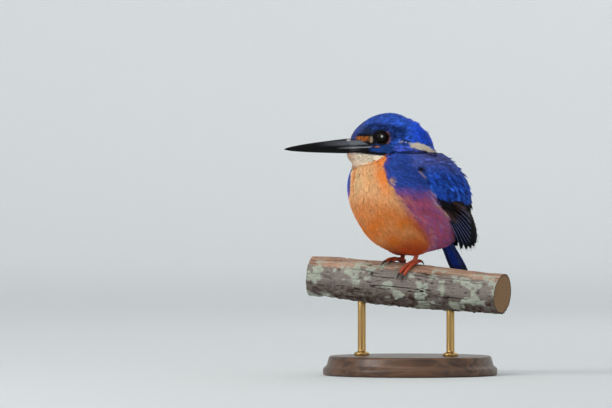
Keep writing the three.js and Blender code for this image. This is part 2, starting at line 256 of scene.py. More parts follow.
def linear(code):
    """An sRGB hex value such as "#1e4aac" as linear red, green and blue."""
    values = [int(code[i : i + 2], 16) / 255 for i in (1, 3, 5)]
    return tuple(v / 12.92 if v <= 0.04045 else ((v + 0.055) / 1.055) ** 2.4 for v in values)


def colour_property(name, code, description):
    """A colour that can be set in the panel."""
    return FloatVectorProperty(
        name=name, description=description, subtype="COLOR", size=3, min=0, max=1, default=linear(code)
    )


def number_property(name, value, description, **more):
    """A number that can be set in the panel."""
    return FloatProperty(name=name, description=description, default=value, **more)


def length_property(name, mm, description):
    """A length that can be set in the panel."""
    return number_property(name, mm * MM, description, min=0, unit="LENGTH", precision=4)


class KingfisherSizes(bpy.types.PropertyGroup):
    eye_radius: length_property("Eye radius", 4.2, "Radius of each eyeball")
    bill_tip: length_property("Bill reach", 68.5, "From the middle of the skull to the tip of the bill")
    bill_upper: length_property("Upper mandible", 5.6, "Height of the upper half of the bill at the forehead")
    bill_lower: length_property("Lower mandible", 3.8, "Depth of the lower half of the bill at the chin")
    bill_width: length_property("Bill width", 9.6, "Width of the bill where it leaves the face")
    tail: length_property("Tail", 33, "Length of the middle tail feathers")
    toe_radius: length_property("Toe radius", 1.15, "Half the thickness of a toe")
    toe: length_property("Front toe", 11.5, "Length of the inner front toe")
    hind_toe: length_property("Hind toe", 7, "Length of the hind toe")
    claw: length_property("Claw", 4.2, "Length of each claw")
    branch_radius: length_property("Branch radius", 14, "Radius of the branch")
    branch: length_property("Branch length", 126, "Length of the branch")
    base_radius: length_property("Base radius", 54, "Radius of the stand's base")
    base_height: length_property("Base height", 12, "Height of the stand's base")
    rod_radius: length_property("Rod radius", 2.5, "Radius of each of the stand's rods")
    feather_gap: number_property("Feather spacing", 1.0, "Space between tufts, 1 as designed", min=0.5)
    feather_length: number_property("Feather length", 1.0, "Length of tufts, 1 as designed", min=0.2)


def size(name):
    """A length from the settings, in millimetres."""
    return getattr(bpy.context.scene.kingfisher.sizes, name) / MM


class KingfisherPlumage(bpy.types.PropertyGroup):
    crown: colour_property("Crown", "#2d59c0", "Azure feathers on top of the head")
    # the nape's ultramarine is painted brighter than the feathers, as painted light falling on it from behind
    nape: colour_property("Nape", "#1d55ea", "Ultramarine feathers on the back of the head")
    brow: colour_property("Brow", "#0b2660", "Navy feathers over the eye")
    # the forehead's grey-violet is partly the feathers' tone and partly painted sheen
    forehead: colour_property("Forehead", "#4c5790", "Grey-violet feathers above the bill")
    slate: colour_property("Slate", "#1b2a48", "Slate feathers above the stroke in front of the eye")
    lores: colour_property("Lores", "#0d0b0e", "Black feathers between bill and eye, and round the eye")
    lore_stroke: colour_property("Lore stroke", "#c47336", "Orange stroke in front of the eye")
    lore_tick: colour_property("Lore tick", "#c7ab8c", "Pale tick between the stroke and the eye")
    malar: colour_property("Malar", "#1c4288", "Azure feathers below the eye")
    ear: colour_property("Ear coverts", "#485fce", "Violet-blue band behind the eye")
    throat: colour_property("Throat", "#ffefd6", "Cream throat")
    neck_patch: colour_property("Neck patch", "#ece0cc", "Cream patch on the side of the neck")
    breast: colour_property("Breast", "#ffdca6", "Yellow-orange upper breast")
    breast_side: colour_property("Side of the breast", "#ffa050", "Purer orange beside the blue patch")
    belly: colour_property("Belly", "#f0944e", "Deep orange lower breast and belly")
    vent: colour_property("Vent", "#bb3510", "Rufous feathers between the legs and under the tail")
    flank: colour_property("Flank", "#bb5a80", "Magenta-violet flank")
    flank_edge: colour_property("Flank edge", "#6a58b4", "Violet edge of the flank below the side patch")
    lilac: colour_property("Lilac", "#a893bd", "Lilac hairs of the flank, palest beside the wing")
    side: colour_property("Side patch", "#2c48a0", "Blue patch on the side of the breast")
    mantle: colour_property("Mantle", "#525fae", "Slate-violet feathers between neck and wing")
    covert: colour_property("Wing coverts", "#1a48b2", "Bright feathers over the folded wing")
    glint: colour_property("Glint", "#3f7bee", "Azure glint on single barbs of the blue feathers")
    rump: colour_property("Rump", "#1f58c8", "Azure feathers down the middle of the back")
    flight: colour_property("Flight feathers", "#08070b", "Blackish long feathers of wing and tail")
    flight_edge: colour_property("Flight edge", "#717ab0", "Blue-grey outer edge of a flight feather")
    brown: colour_property("Brown tips", "#4c3a38", "Brown tips of the feathers under the wing coverts")
    buff: colour_property("Buff", "#c9a58c", "Buff tips where the flank meets the folded wing")


def mixed(base, colour, weight):
    """The base colour carried towards another one, by a weight for each point."""
    return base + (np.array(colour) - base) * np.asarray(weight)[:, None]


def shaded(colour, shade):
    """One linear colour, made lighter or darker by a shade for each point."""
    return np.array(colour, float) * np.asarray(shade)[:, None]


# ---------------- where the markings lie

SIDE_EDGE_HEIGHTS = (10, 14, 21, 28, 34.5, 40.5, 47, 52.6, 58.7, 66.5)  # the orange ends at these heights
SIDE_EDGE_ANGLES = (112, 103, 82, 63, 53, 48, 43, 36, 32, 33)  # and at these degrees round from its front
FAR_EDGE_HEIGHTS = (20, 34, 39, 42, 50, 54, 58, 63, 70)  # the same on the far side, where the patch is puffed
FAR_EDGE_ANGLES = (82, 52, 22, 6.5, 6.5, 11, 18, 28, 33)
WING_EDGE_HEIGHTS = (5, 15.6, 22.4, 27.7, 31.8, 35.8, 42.5, 48, 54.6, 58, 64)  # front edge of the folded wing
WING_EDGE_X = (-34, -26.2, -20.5, -15.1, -10, -5.4, -0.8, 3.5, 7.8, 7.2, 4)
COVERT_EDGE_X = (-31.7, -20.2, -13.1, -4.9, 2.9)  # lower edge of the wing coverts
COVERT_EDGE_HEIGHTS = (36.5, 35.8, 37.2, 39.2, 42.5)

HEAD_EDGE_X = (-40, -27, -24.5, -12, 4, 8.8, 12.9, 17.9, 22.6, 25.7, 30)  # lower edge of the head's feathers
HEAD_EDGE_Z = (10, -2, -9.8, -9.2, -9.0, -10.9, -13.9, -15.9, -17.0, -19.1, -21)  # in the head's frame


def above_collar(p):
    """How far points p lie above the line where the head's feathers end and the body's begin."""
    h = bird_to_head(p)
    return h[:, 2] - np.interp(h[:, 0], HEAD_EDGE_X, HEAD_EDGE_Z)


COLLAR_DEPTH = 1.3  # how deep the coat is pressed in: under the head's feathers
NAPE_DEPTH = 3.0  # in the middle of the nape
SHOULDER_DEPTH = 1.5  # in the gap between shoulder and wing
CROWN_DEPTH = 1.3  # and on the rear crown


def fold(p):
    """How deep the coat is pressed in: below the head's feathers, at nape, shoulder and rear crown."""
    h = bird_to_head(p)
    nape = ramp(h[:, 0], -16, -24)
    across = (above_collar(p) + 1.0 + 0.8 * nape) / (0.9 + 1.1 * nape)
    under_head = np.exp(-(across**2)) * (1 + 1.1 * nape) * ramp(h[:, 0], 15, 8) * ramp(h[:, 0], -36, -31)
    x, y, z = p[:, 0], np.abs(p[:, 1]), p[:, 2]
    gap = dent(x, z, (8.6, 57.6), (2.2, 1.7)) * ramp(y, 15, 20)
    crown = dent(h[:, 0], h[:, 2], (-10, 12.5), (6.5, 6))
    hollow = dent(x, z, (-15, 69), (5.5, 3.5)) * ramp(y, 17, 12)
    back_of_neck = np.maximum(COLLAR_DEPTH * under_head, NAPE_DEPTH * hollow)
    return back_of_neck + SHOULDER_DEPTH * gap + CROWN_DEPTH * crown


def face_weights(h):
    """How far each marking of the head covers points h of the head's frame."""
    x, y, z = h[:, 0], np.abs(h[:, 1]), h[:, 2]
    from_eye = np.hypot(x - EYE_AT[0], (z - EYE_AT[2]) * 1.12)
    above_chin = z - np.interp(x, (6, 12, 22, 30), (-11.4, -11.2, -10.0, -9.8))
    on_side, beside = ramp(y, 3, 6), ramp(y, 7, 10)
    stroke_line = -0.7 + 0.05 * (x - 20)
    patch_line = np.interp(x, (-24, -18, -13, -8), (-8.9, -6.7, -5.3, -4.9))
    patch_half = np.interp(x, (-25, -21, -13, -9), (0.5, 1.5, 1.7, 1.1))
    return {
        "nape": ramp(x, -4, -16) * ramp(z, -12, -6),
        "crown_front": ramp(x + 0.7 * z, 8, 18) * ramp(z, -3, 0),
        "brow": np.maximum(blob(x, z, (12, 5.2), (10, 3.6)), blob(x, z, (1.5, 3.0), (7, 4.6))) * on_side,
        "slate": blob(x, z, (19, 4.0), (5.5, 2.6)) * on_side,
        "forehead": ramp(x + 0.7 * z, 21.0, 26.0) * ramp(z, 12, 8) * ramp(z, -3, 0),
        "bristles": blob(x, z, (27.8, -1.9), (1.6, 1.5)),
        "lores": np.maximum.reduce(
            [
                ramp(x, 12, 14) * ramp(z, -5.5, -4) * ramp(z, 3.4, 1.6) * ramp(x, 27.5, 25),
                1 - ramp(from_eye, 4.9, 6.2),
                blob(x, z, (19.5, -8.5), (3.4, 3.2)),
            ]
        )
        * on_side,
        "eye_ring": band(from_eye, 5.3, 0.15, 0.6) * ramp(x, 7.4, 5.8) * on_side,
        "lore_stroke": ramp(x, 16.4, 17.4) * ramp(x, 24.6, 23.2) * band(z, stroke_line, 1.1, 1.7),
        "lore_tick": blob(x, z, (15.6, -1.2), (0.8, 2.0)),
        "malar": ramp(z, -3.6, -5.0) * ramp(above_chin, -0.6, 0.6) * ramp(x, 18, 15.6),
        "whisker": ramp(x, 6.5, 8.5) * ramp(above_chin, 2.6, 1.5) * ramp(above_chin, -0.5, 0.2),
        "gape": ramp(x, 10.8, 11.8) * band(z, -5.6, 0.35, 0.8) * ramp(x, 21, 19),
        "gape_corner": blob(x, z, (12.6, -5.7), (1.5, 0.4)),
        "streaks": blob(x, z, (-4.5, -3.2), (3.6, 1.7)),
        # painted shadow: a black line where the head's feathers hang over the body
        "crease_shadow": ramp(z, -8.0, -8.9) * ramp(x, 7, 3),
        "ear": ramp(x, 4.5, 1) * ramp(z, -4.2, -5.6) * ramp(z, -10.5, -9),
        "throat": ramp(above_chin, 0.5, -0.7),
        # painted shade: the throat turns browner towards its lower edge and its front under the bill
        "throat_edge_shade": np.maximum(ramp(z, -16, -19), 0.7 * ramp(x, 23, 28)),
        "scaled": ramp(z, -15.5, -13.5) * ramp(x, 14.5, 17) * ramp(x, 29, 27),
        "patch_rim": band(z, patch_line - patch_half - 0.5, 0.5, 1.0) * beside * ramp(x, -8, -11),
        "neck_patch": band(z, patch_line, patch_half, patch_half + 0.8) * beside * ramp(x, -7.2, -8.6),
    }


def body_weights(p):
    """How far each marking of the body covers points p of the bird's frame."""
    x, y, z = p[:, 0], np.abs(p[:, 1]), p[:, 2]
    angle = np.degrees(np.arctan2(y, x - 3))
    near_edge = np.interp(z, SIDE_EDGE_HEIGHTS, SIDE_EDGE_ANGLES)
    edge = np.where(p[:, 1] < 0, np.interp(z, FAR_EDGE_HEIGHTS, FAR_EDGE_ANGLES), near_edge)
    wobble = 2.0 * noise(p, 3.0, 4)
    soft = 2 + 9 * ramp(z, 46, 34)  # the flank's colours run into each other more than the side patch's
    wing_x = np.interp(z, WING_EDGE_HEIGHTS, WING_EDGE_X)
    covert_z = np.interp(x, COVERT_EDGE_X, COVERT_EDGE_HEIGHTS)
    return {
        "breast": ramp(angle, edge + soft + wobble, edge - 0.5 * soft + wobble),
        "rust": ramp(angle, edge + 34, edge + 4) * ramp(z, 46, 38),
        "belly": ramp(z, 53, 26),
        "glow": ramp(angle + wobble, edge - 36, edge - 2) * ramp(z, 34, 50) * ramp(p[:, 1], -7, 0),
        "vent": np.maximum.reduce(
            [
                ramp(z, 21, 6) * ramp(x, 26, 8) * 0.85,
                ramp(x, 4, -12) * ramp(z, 24, 15),
                ramp(angle, edge - 20, edge) * ramp(z, 32, 20) * 0.7,
            ]
        ),
        "flank": ramp(z, 47 + wobble, 39 + wobble),
        "flank_edge": ramp(z, 48.5 + wobble, 43) * ramp(z, 33, 40),
        "wing": ramp(x, wing_x + 1.0, wing_x - 1.0),
        "by_wing": ramp(x, wing_x + 9, wing_x + 3) * ramp(z, 48, 38),
        "wing_rim": ramp(np.abs(x - wing_x - 1.2), 2.8, 1.2) * ramp(z, 46, 42) * ramp(z, 20, 24),
        "under_wing": ramp(z, covert_z + 1.0, covert_z - 1.0) * ramp(x, wing_x + 1.0, wing_x - 1.0),
        "mantle": np.maximum(ramp(z, 55, 61) * ramp(x, 15, 9), 0.6 * ramp(z, 50, 58) * ramp(x, 9, 2))
        * ramp(y, 29, 25),
        "dusky": blob(x, z, (-10, 65.5), (10, 3.4)) + blob(x, z, (0.5, 66), (3.0, 1.8)),
        "rump": ramp(y, 9, 6) * ramp(x, -6, -14) * ramp(z, 22, 27),
        "spot": 1 - ramp(np.hypot(x - 25.4, (z - 49.9) * 0.62), 0.8, 1.9),
        "far_patch": ramp(p[:, 1], -10, -13) * ramp(x, 22, 26) * ramp(z, 62, 56),
        # painted shade: the hollow between shoulder and wing
        "gap": blob(x, z, (6.6, 57.2), (2.2, 1.7)),
        "tick": blob(x - 0.7 * z, z, (6.6 - 0.7 * 53.6, 53.6), (0.8, 2.6)),
        "lilac_rim": ramp(np.abs(angle - edge - 3), 3.2, 0.8) * ramp(z, 44, 50),
    }


def streak(p, way, grain, reach, seed):
    """Noise from about -1 to 1 that is drawn out along the lie of the coat, way, by reach to each side."""
    steps = np.linspace(-reach, reach, 7)
    total = sum(noise(p + way * k, grain, seed) for k in steps)
    return np.clip(total * 0.42, -1, 1)


def markings(p):
    """The plumage's linear colour at points p of the bird's frame. The skin and the coat both use it."""
    way = lie_of_coat(p)
    fine = streak(p, way, 0.8, 2.4, 30)
    broad = streak(p, way, 1.5, 3.6, 31)
    sparse = streak(p, way, 1.0, 3.0, 32)
    in_head = ramp(above_collar(p), -0.4, 0.3)
    return mixed(body_colours(p, fine, broad, sparse), head_colours(p, fine, broad), in_head)


def body_colours(p, fine, broad, sparse):
    """Side patch, flank, underparts, folded wing and mantle, laid one over the other."""
    c = bpy.context.scene.kingfisher.plumage
    b = body_weights(p)
    z = p[:, 2]
    patches = noise(p, 6, 33)
    colour = shaded(c.side, 1 + 0.30 * fine + 0.12 * patches)
    colour = mixed(colour, c.flank_edge, b["flank_edge"] * (0.75 + 0.25 * broad))

    flank = shaded(c.flank, 1 + 0.24 * fine + 0.10 * patches)
    flank = mixed(flank, c.flank_edge, np.clip(ramp(sparse, 0.15, 0.75) * 0.45 + ramp(z, 36, 43) * 0.4, 0, 1))
    flank = mixed(flank, c.lilac, np.clip(ramp(broad, 0.3, 0.8) + 0.6 * b["by_wing"], 0, 1) * 0.35)
    colour = mixed(colour, flank, b["flank"])
    colour = mixed(colour, c.belly, b["rust"] * ramp(0.5 * fine + 0.5 * broad, -0.7, 0.7) * 0.4)
    colour = mixed(colour, c.glint, b["far_patch"] * 0.55)
    colour = mixed(colour, c.flank_edge, b["lilac_rim"] * 0.7)

    glow = b["glow"] * (0.75 + 0.5 * patches + 0.5 * ramp(z, 57, 62))
    orange = mixed(np.array(c.breast), c.belly, b["belly"] * (1 + 0.2 * patches))
    orange = mixed(orange, c.breast_side, np.clip(glow, 0, 1))
    orange = mixed(orange, c.vent, b["vent"])
    orange = orange * (1 + 0.07 * fine + 0.07 * broad + 0.06 * patches)[:, None]
    colour = mixed(colour, orange, b["breast"])
    colour = mixed(colour, c.breast_side, b["spot"] * 0.4)
    colour = mixed(colour, c.breast, b["spot"] * 0.45)

    wing = shaded(c.covert, 1 + 0.40 * fine)
    wing = mixed(wing, c.glint, ramp(broad, 0.15, 0.7) * 0.55)
    wing = mixed(wing, c.flight, ramp(sparse, 0.1, 0.6) * (0.5 + 0.3 * ramp(z, 52, 40)))
    colour = mixed(colour, wing, b["wing"])

    dusky = np.clip(b["dusky"], 0, 1) * ramp(fine, -0.6, 0.3) * 0.45
    mantle = shaded(c.mantle, 1 + 0.25 * fine)
    mantle = mixed(mantle, c.brown, ramp(broad, 0.1, 0.8) * 0.4 + dusky)
    colour = mixed(colour, mantle, b["mantle"])

    colour = mixed(colour, c.flight, b["under_wing"])
    rim = np.where(z[:, None] > 36, np.array(c.lilac) * 1.3, np.array(c.buff))
    colour = mixed(colour, rim, b["wing_rim"] * ramp(sparse, 0.0, 0.4) * 0.75)
    colour = mixed(colour, c.rump, b["rump"])
    # painted shade in the hollow between shoulder and wing, nearly black
    colour = mixed(colour, c.flight, b["gap"] * 0.95)
    return mixed(colour, c.buff, b["tick"] * 0.6)


SCALE_ROWS = 2.4  # radians in each mm, so that the chin's scales lie in rows 1.3 mm apart


def head_colours(p, fine, broad):
    """Crown and brow, cheek and ear, throat, neck patch and the marks round bill and eye."""
    c = bpy.context.scene.kingfisher.plumage
    h = face_weights(bird_to_head(p))
    scales = 0.58 * noise(p, 1.3, 28) + 0.2 * noise(p, 0.8, 26) + 0.42 * noise(p, 2.3, 25)
    scales = scales + 0.12 * noise(p, 4, 29) + 0.2 * fine
    face = shaded(c.crown, np.clip(1 + scales, 0.3, 1.9))
    # the nape's colour includes painted light from behind
    face = mixed(face, c.nape, h["nape"] * 0.85) * (1 + 0.25 * h["nape"] * broad)[:, None]
    # partly painted sheen: a little of the forehead's grey-violet on the front of the crown
    face = mixed(face, c.forehead, h["crown_front"] * 0.2)
    face = mixed(face, c.brow, h["brow"] * np.clip(0.92 - 0.5 * scales, 0, 1))
    face = mixed(face, c.slate, h["slate"] * 0.9)
    # the forehead's grey-violet, partly painted sheen
    face = mixed(face, c.forehead, h["forehead"] * np.clip(0.9 + 0.5 * fine, 0, 1))

    azure = mixed(shaded(c.malar, 1 + 0.35 * fine), c.glint, ramp(broad, 0.2, 0.8) * 0.35)
    face = mixed(face, azure, h["malar"])
    face = mixed(face, shaded(c.ear, 1 + 0.35 * broad + 0.2 * fine), h["ear"])
    face = mixed(face, c.lores, np.maximum(h["lores"], h["whisker"]))

    face = mixed(face, c.throat, h["throat"])
    # painted shade on the throat, orange-brown at its lower edge and under the bill
    face = mixed(face, c.lore_stroke, h["throat"] * h["throat_edge_shade"] * 0.65)
    scale = np.abs(np.sin((p[:, 0] + p[:, 2]) * SCALE_ROWS) * np.sin((p[:, 0] - p[:, 2]) * SCALE_ROWS))
    face = mixed(face, c.brown, h["throat"] * h["scaled"] * ramp(scale, 0.4, 0.15) * 0.42)

    face = mixed(face, c.neck_patch, h["bristles"] * 0.5)
    strokes = 0.35 + 0.65 * ramp(noise(p * [1, 1, 0.35], 0.55, 27), -0.5, 0.1)
    face = mixed(face, c.lore_stroke, h["lore_stroke"] * strokes)
    face = mixed(face, c.lore_tick, h["lore_tick"] * 0.8)
    face = mixed(face, c.lore_stroke, h["eye_ring"] * 0.3)
    face = mixed(face, c.neck_patch, h["neck_patch"])
    face = mixed(face, c.brown, h["patch_rim"] * ramp(fine, -0.5, 0.3) * 0.8)
    # black at the gape, and painted shadow in black along the crease under the head's feathers
    face = mixed(face, c.lores, np.maximum(h["gape"], h["crease_shadow"] * (1 - h["neck_patch"]) * 0.8))
    face = mixed(face, c.lore_stroke, h["gape_corner"])
    speck = noise(p, 0.9, 23)
    face = mixed(face, c.lores, h["streaks"] * (speck > 0.15))
    return mixed(face, c.neck_patch, h["streaks"] * (speck < -0.35) * 0.7)


# ---------------- materials


def add_node(tree, kind, settings=None, links=None):
    """Adds a node. settings are its attributes, or values of its sockets; links feed its sockets."""
    made = tree.nodes.new(kind)
    for key, value in (settings or {}).items():
        if hasattr(made, str(key)):
            setattr(made, key, value)
        else:
            made.inputs[key].default_value = value
    for key, source in (links or {}).items():
        tree.links.new(source, made.inputs[key])
    return made


# A Mix node's sockets for colours, by number, because several of them share a name.
SHARE, DARK, LIGHT, MIXED = 0, 6, 7, 2


def finish_material(tree, settings, links=None):
    """The principled shader and the output that every material ends with."""
    shader = add_node(tree, "ShaderNodeBsdfPrincipled", settings, links)
    add_node(tree, "ShaderNodeOutputMaterial", None, {"Surface": shader.outputs["BSDF"]})


def opaque(code):
    """An sRGB hex value as linear red, green, blue and full cover."""
    return (*linear(code), 1.0)


# ---------------- mesh helpers


def to_metres(p):
    """Points of the bird's frame in metres of the row's frame."""
    return bird_to_row(np.asarray(p, float)) * MM


def mesh_object(name, points, faces, material, smooth=True):
    """A mesh from points in metres and an array of faces with the same number of corners."""
    mesh = bpy.data.meshes.new(name)
    faces = np.asarray(faces, np.int32)
    corners = faces.shape[1]
    mesh.vertices.add(len(points))
    mesh.vertices.foreach_set("co", np.asarray(points, np.float32).ravel())
    mesh.loops.add(faces.size)
    mesh.loops.foreach_set("vertex_index", faces.ravel())
    mesh.polygons.add(len(faces))
    mesh.polygons.foreach_set("loop_start", np.arange(0, faces.size, corners, dtype=np.int32))
    mesh.update(calc_edges=True)
    mesh.validate()
    mesh.polygons.foreach_set("use_smooth", np.full(len(mesh.polygons), smooth))
    mesh.materials.append(material)
    made = bpy.data.objects.new(name, mesh)
    bpy.context.scene.collection.objects.link(made)
    return made


def joined(parts):
    """Several (points, faces) as one."""
    starts = np.cumsum([0] + [len(p) for p, _ in parts[:-1]])
    return np.concatenate([p for p, _ in parts]), np.concatenate([f + s for (_, f), s in zip(parts, starts)])


def paint_points(made, colours, name="plumage"):
    """Gives each point of a mesh its own linear colour."""
    layer = made.data.attributes.new(name, "FLOAT_COLOR", "POINT")
    rgba = np.ones((len(colours), 4), np.float32)
    rgba[:, :3] = colours
    layer.data.foreach_set("color", rgba.ravel())


def add_map(made, name, uv):
    """A UV map from one place for each point of the mesh."""
    layer = made.data.uv_layers.new(name=name)
    index = np.empty(len(made.data.loops), np.int32)
    made.data.loops.foreach_get("vertex_index", index)
    layer.data.foreach_set("uv", np.asarray(uv, np.float32)[index].ravel())


def keep(made, slot, *nodes):
    """A finished piece rides on the one body and stands for the CAD nodes it replaces, which are hidden. Its
    slot is not used.
    """
    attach(made, "root")
    if nodes:
        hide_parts(*nodes)
    return made


# ---------------- skin


BODY_COAT = 1.9  # how deep the coat is on the body
EYE_BARE = 4.1  # no feather grows nearer than this to the middle of an eye,
EYE_CLEAR = 4.0  # and none lies nearer than this,
EYE_SIDE = 7  # on the part of the head that is at least this far from its middle plane


def coat_depth(p):
    """How far the skin lies inside the bird's outline at points p: thin on the face, deep on the body."""
    h = bird_to_head(p)
    in_head = ramp(above_collar(p), -3, 3)
    head_depth = 0.55 + 0.75 * ramp(h[:, 0], 20, -8)
    return BODY_COAT + (head_depth - BODY_COAT) * in_head


RAY_HALVINGS = 40


def ball_points(form, centre, around, down, reach):
    """Corners and faces of a sphere pushed out to form == 0, along rays from centre up to reach long."""
    lat = np.linspace(0, np.pi, down + 1)[1:-1]
    lon = np.linspace(0, 2 * np.pi, around, endpoint=False)
    ring = [(np.sin(a) * np.cos(b), np.sin(a) * np.sin(b), np.cos(a)) for a in lat for b in lon]
    ways = np.array([(0, 0, 1), *ring, (0, 0, -1)])
    near = np.zeros(len(ways))
    far = np.full(len(ways), float(reach))
    for step in range(RAY_HALVINGS):  # the first step tries the whole reach
        half = (near + far) / 2 if step > 0 else far
        inside = form(centre + ways * half[:, None]) < 0
        near = np.where(inside, half, near)
        far = np.where(inside, far, half)
    faces = []
    last = 1 + (down - 2) * around
    for i in range(around):
        j = (i + 1) % around
        faces.append((0, 1 + i, 1 + j))
        for row in range(1, last, around):
            a, b = row + i, row + j
            faces += [(a, a + around, b + around), (a, b + around, b)]
        faces.append((last + i, len(ways) - 1, last + j))
    return centre + ways * near[:, None], np.array(faces)


def remeshed(parts, voxel):
    """One closed skin of quads round several overlapping closed meshes, on a grid of that size in mm."""
    raw = mesh_object("raw_skin", *joined(parts), None)
    modifier = raw.modifiers.new("remesh", "REMESH")
    modifier.mode = "VOXEL"
    modifier.voxel_size = voxel
    graph = bpy.context.evaluated_depsgraph_get()
    done = raw.evaluated_get(graph).to_mesh()
    out = np.empty(len(done.vertices) * 3, np.float32)
    done.vertices.foreach_get("co", out)
    corners = np.empty(len(done.loops), np.int32)
    done.loops.foreach_get("vertex_index", corners)
    assert len(corners) == 4 * len(done.polygons), "the remeshed skin is not all quads"
    bpy.data.objects.remove(raw)
    return out.reshape(-1, 3).astype(float), corners.reshape(-1, 4)


SOCKET_DEPTH = 2.4


def sink_eyes(p):
    """Presses the skin in under each eyeball, so that the eye sits in a socket."""
    h = bird_to_head(p)
    r = np.hypot(h[:, 0] - EYE_AT[0], h[:, 2] - EYE_AT[2])
    deep = SOCKET_DEPTH * ramp(r, EYE_BARE, 2.6) * ramp(np.abs(h[:, 1]), 6, 8)
    h[:, 1] -= np.sign(h[:, 1]) * deep
    return head_to_bird(h)


@functools.cache
def skin_mesh():
    """Points and quads of the bare skin, in the bird's frame. Worked out once for the skin and the coat."""
    body = ball_points(body_form, BODY_MIDDLE, around=72, down=48, reach=62)
    head = ball_points(head_form, HEAD_AT + [0, 0, -3], around=60, down=40, reach=34)
    points, faces = remeshed([body, head], voxel=0.8)
    for _ in range(2):
        points, _ = settle(whole_form, points, -coat_depth(points) - fold(points), 1)
    return points, faces


# ---------------- growing feathers


def flat_on(ways, out):
    """Directions laid flat on the surface whose outward direction is out, of length 1."""
    ways = ways - np.sum(ways * out, axis=1, keepdims=True) * out
    return ways / np.maximum(np.linalg.norm(ways, axis=1, keepdims=True), 1e-9)


def lie_of_coat(p):
    """The way that feathers at points p run, from root to tip. It isn't yet flat on the skin."""
    h = bird_to_head(p)
    from_bill = h - [35, 0, -3]
    from_bill /= np.linalg.norm(from_bill, axis=1, keepdims=True)
    head_way = from_bill + ramp(h[:, 0], -6, -20)[:, None] * [0.1, 0, -1.0]
    head_way = head_way + ramp(h[:, 2], -9, -15)[:, None] * [0.1, 0, -0.5]
    head_way = head_way @ HEAD_IN_BIRD.T

    x, z, side = p[:, 0], p[:, 2], np.sign(p[:, 1])
    b = body_weights(p)
    way = np.tile([-0.5, 0.0, -0.85], (len(p), 1))
    leans = (  # where the lie changes, and to what: back, away from the middle, and up
        (ramp(z, 62, 40), -0.8, 0.0, -0.6),  # flank and belly
        (ramp(z, 42, 52) * ramp(x, 36, 26), -0.95, 0.1, -0.34),  # side patch
        (b["breast"] * ramp(z, 34, 50), -0.3, 0.25, -0.95),
        (ramp(x, 4, -4) * ramp(z, 52, 60), -0.75, 0.0, -0.66),  # mantle
        (b["wing"] * ramp(z, 62, 52), -0.5, -0.12, -0.86),
        (b["rump"], -0.56, 0.0, -0.83),
    )
    for weight, back, away, up in leans:
        goal = np.stack([np.full(len(p), back), away * side, np.full(len(p), up)], axis=1)
        way = mixed(way, goal, weight)
    way /= np.linalg.norm(way, axis=1, keepdims=True)
    in_head = ramp(above_collar(p), -2.0, 1.0)[:, None]
    return way + (head_way - way) * in_head


OVERSOWN = 3.2  # how many places are tried for each one that a spacing would fill


def scatter(points, faces, gap, wanted, rng):
    """Root points spread over a skin's wanted faces, none nearer to another than gap."""
    tri = np.concatenate([faces[:, [0, 1, 2]], faces[:, [0, 2, 3]]])
    centres = points[tri].mean(axis=1)
    tri = tri[wanted(centres)]
    a, b, c = (points[tri[:, i]] for i in range(3))
    density = np.linalg.norm(np.cross(b - a, c - a), axis=1) / 2 / (gap * gap)
    count = int(density.sum() * OVERSOWN)
    pick = rng.choice(len(tri), count, p=density / density.sum())
    u, v = rng.random(count), rng.random(count)
    over = u + v > 1
    u[over], v[over] = 1 - u[over], 1 - v[over]
    p = a[pick] + (b[pick] - a[pick]) * u[:, None] + (c[pick] - a[pick]) * v[:, None]
    p = p[wanted(p)]
    tree = KDTree(len(p))
    for i, q in enumerate(p):
        tree.insert(q, i)
    tree.balance()
    free = np.ones(len(p), bool)
    kept = []
    for i, q in enumerate(p):
        if free[i]:
            kept.append(i)
            for _, j, _ in tree.find_range(q, gap):
                free[j] = False
    return p[kept]


def keep_off_eyes(p):
    """Pushes points away from the middle of each eye, so that feathers part round it."""
    h = bird_to_head(p)
    dx, dz = h[:, 0] - EYE_AT[0], h[:, 2] - EYE_AT[2]
    r = np.maximum(np.hypot(dx, dz), 1e-6)
    near = (r < EYE_CLEAR) & (np.abs(h[:, 1]) > EYE_SIDE)
    push = np.where(near, EYE_CLEAR / r, 1.0)
    h[:, 0] = EYE_AT[0] + dx * push
    h[:, 2] = EYE_AT[2] + dz * push
    return head_to_bird(h)


CHART_RADIUS = 0.235  # radius of each of the four discs that the skin is unwrapped on
PATCH = 0.003  # size of each tuft's patch on them


def patch_places(p):
    """Each root's place on an unwrap of the skin: the two sides of body and head, on four discs."""
    on_head = head_form(p) < body_form(p)
    d = p - np.where(on_head[:, None], HEAD_AT, BODY_MIDDLE)
    d = np.where(on_head[:, None], d @ HEAD_IN_BIRD, d)
    d /= np.linalg.norm(d, axis=1, keepdims=True)
    spread = CHART_RADIUS / math.sqrt(2) * np.sqrt(2 / (1 + np.abs(d[:, 1])))
    u = np.where(d[:, 1] > 0, 0.25, 0.75) + spread * d[:, 0]
    v = np.where(on_head, 0.75, 0.25) + spread * d[:, 2]
    return np.stack([u, v], axis=1)


def along_spine(spine, at):
    """Points at fractions at (N, ...) along polylines spine (N, steps + 1, 3)."""
    steps = spine.shape[1] - 1
    x = np.clip(at, 0, 1) * steps
    low = np.minimum(x.astype(int), steps - 1)
    f = (x - low)[..., None]
    row = np.arange(len(spine)).reshape((-1,) + (1,) * (at.ndim - 1))
    return spine[row, low] * (1 - f) + spine[row, low + 1] * f


SPINE_STEPS = 4  # straight lengths in the spine of a small feather


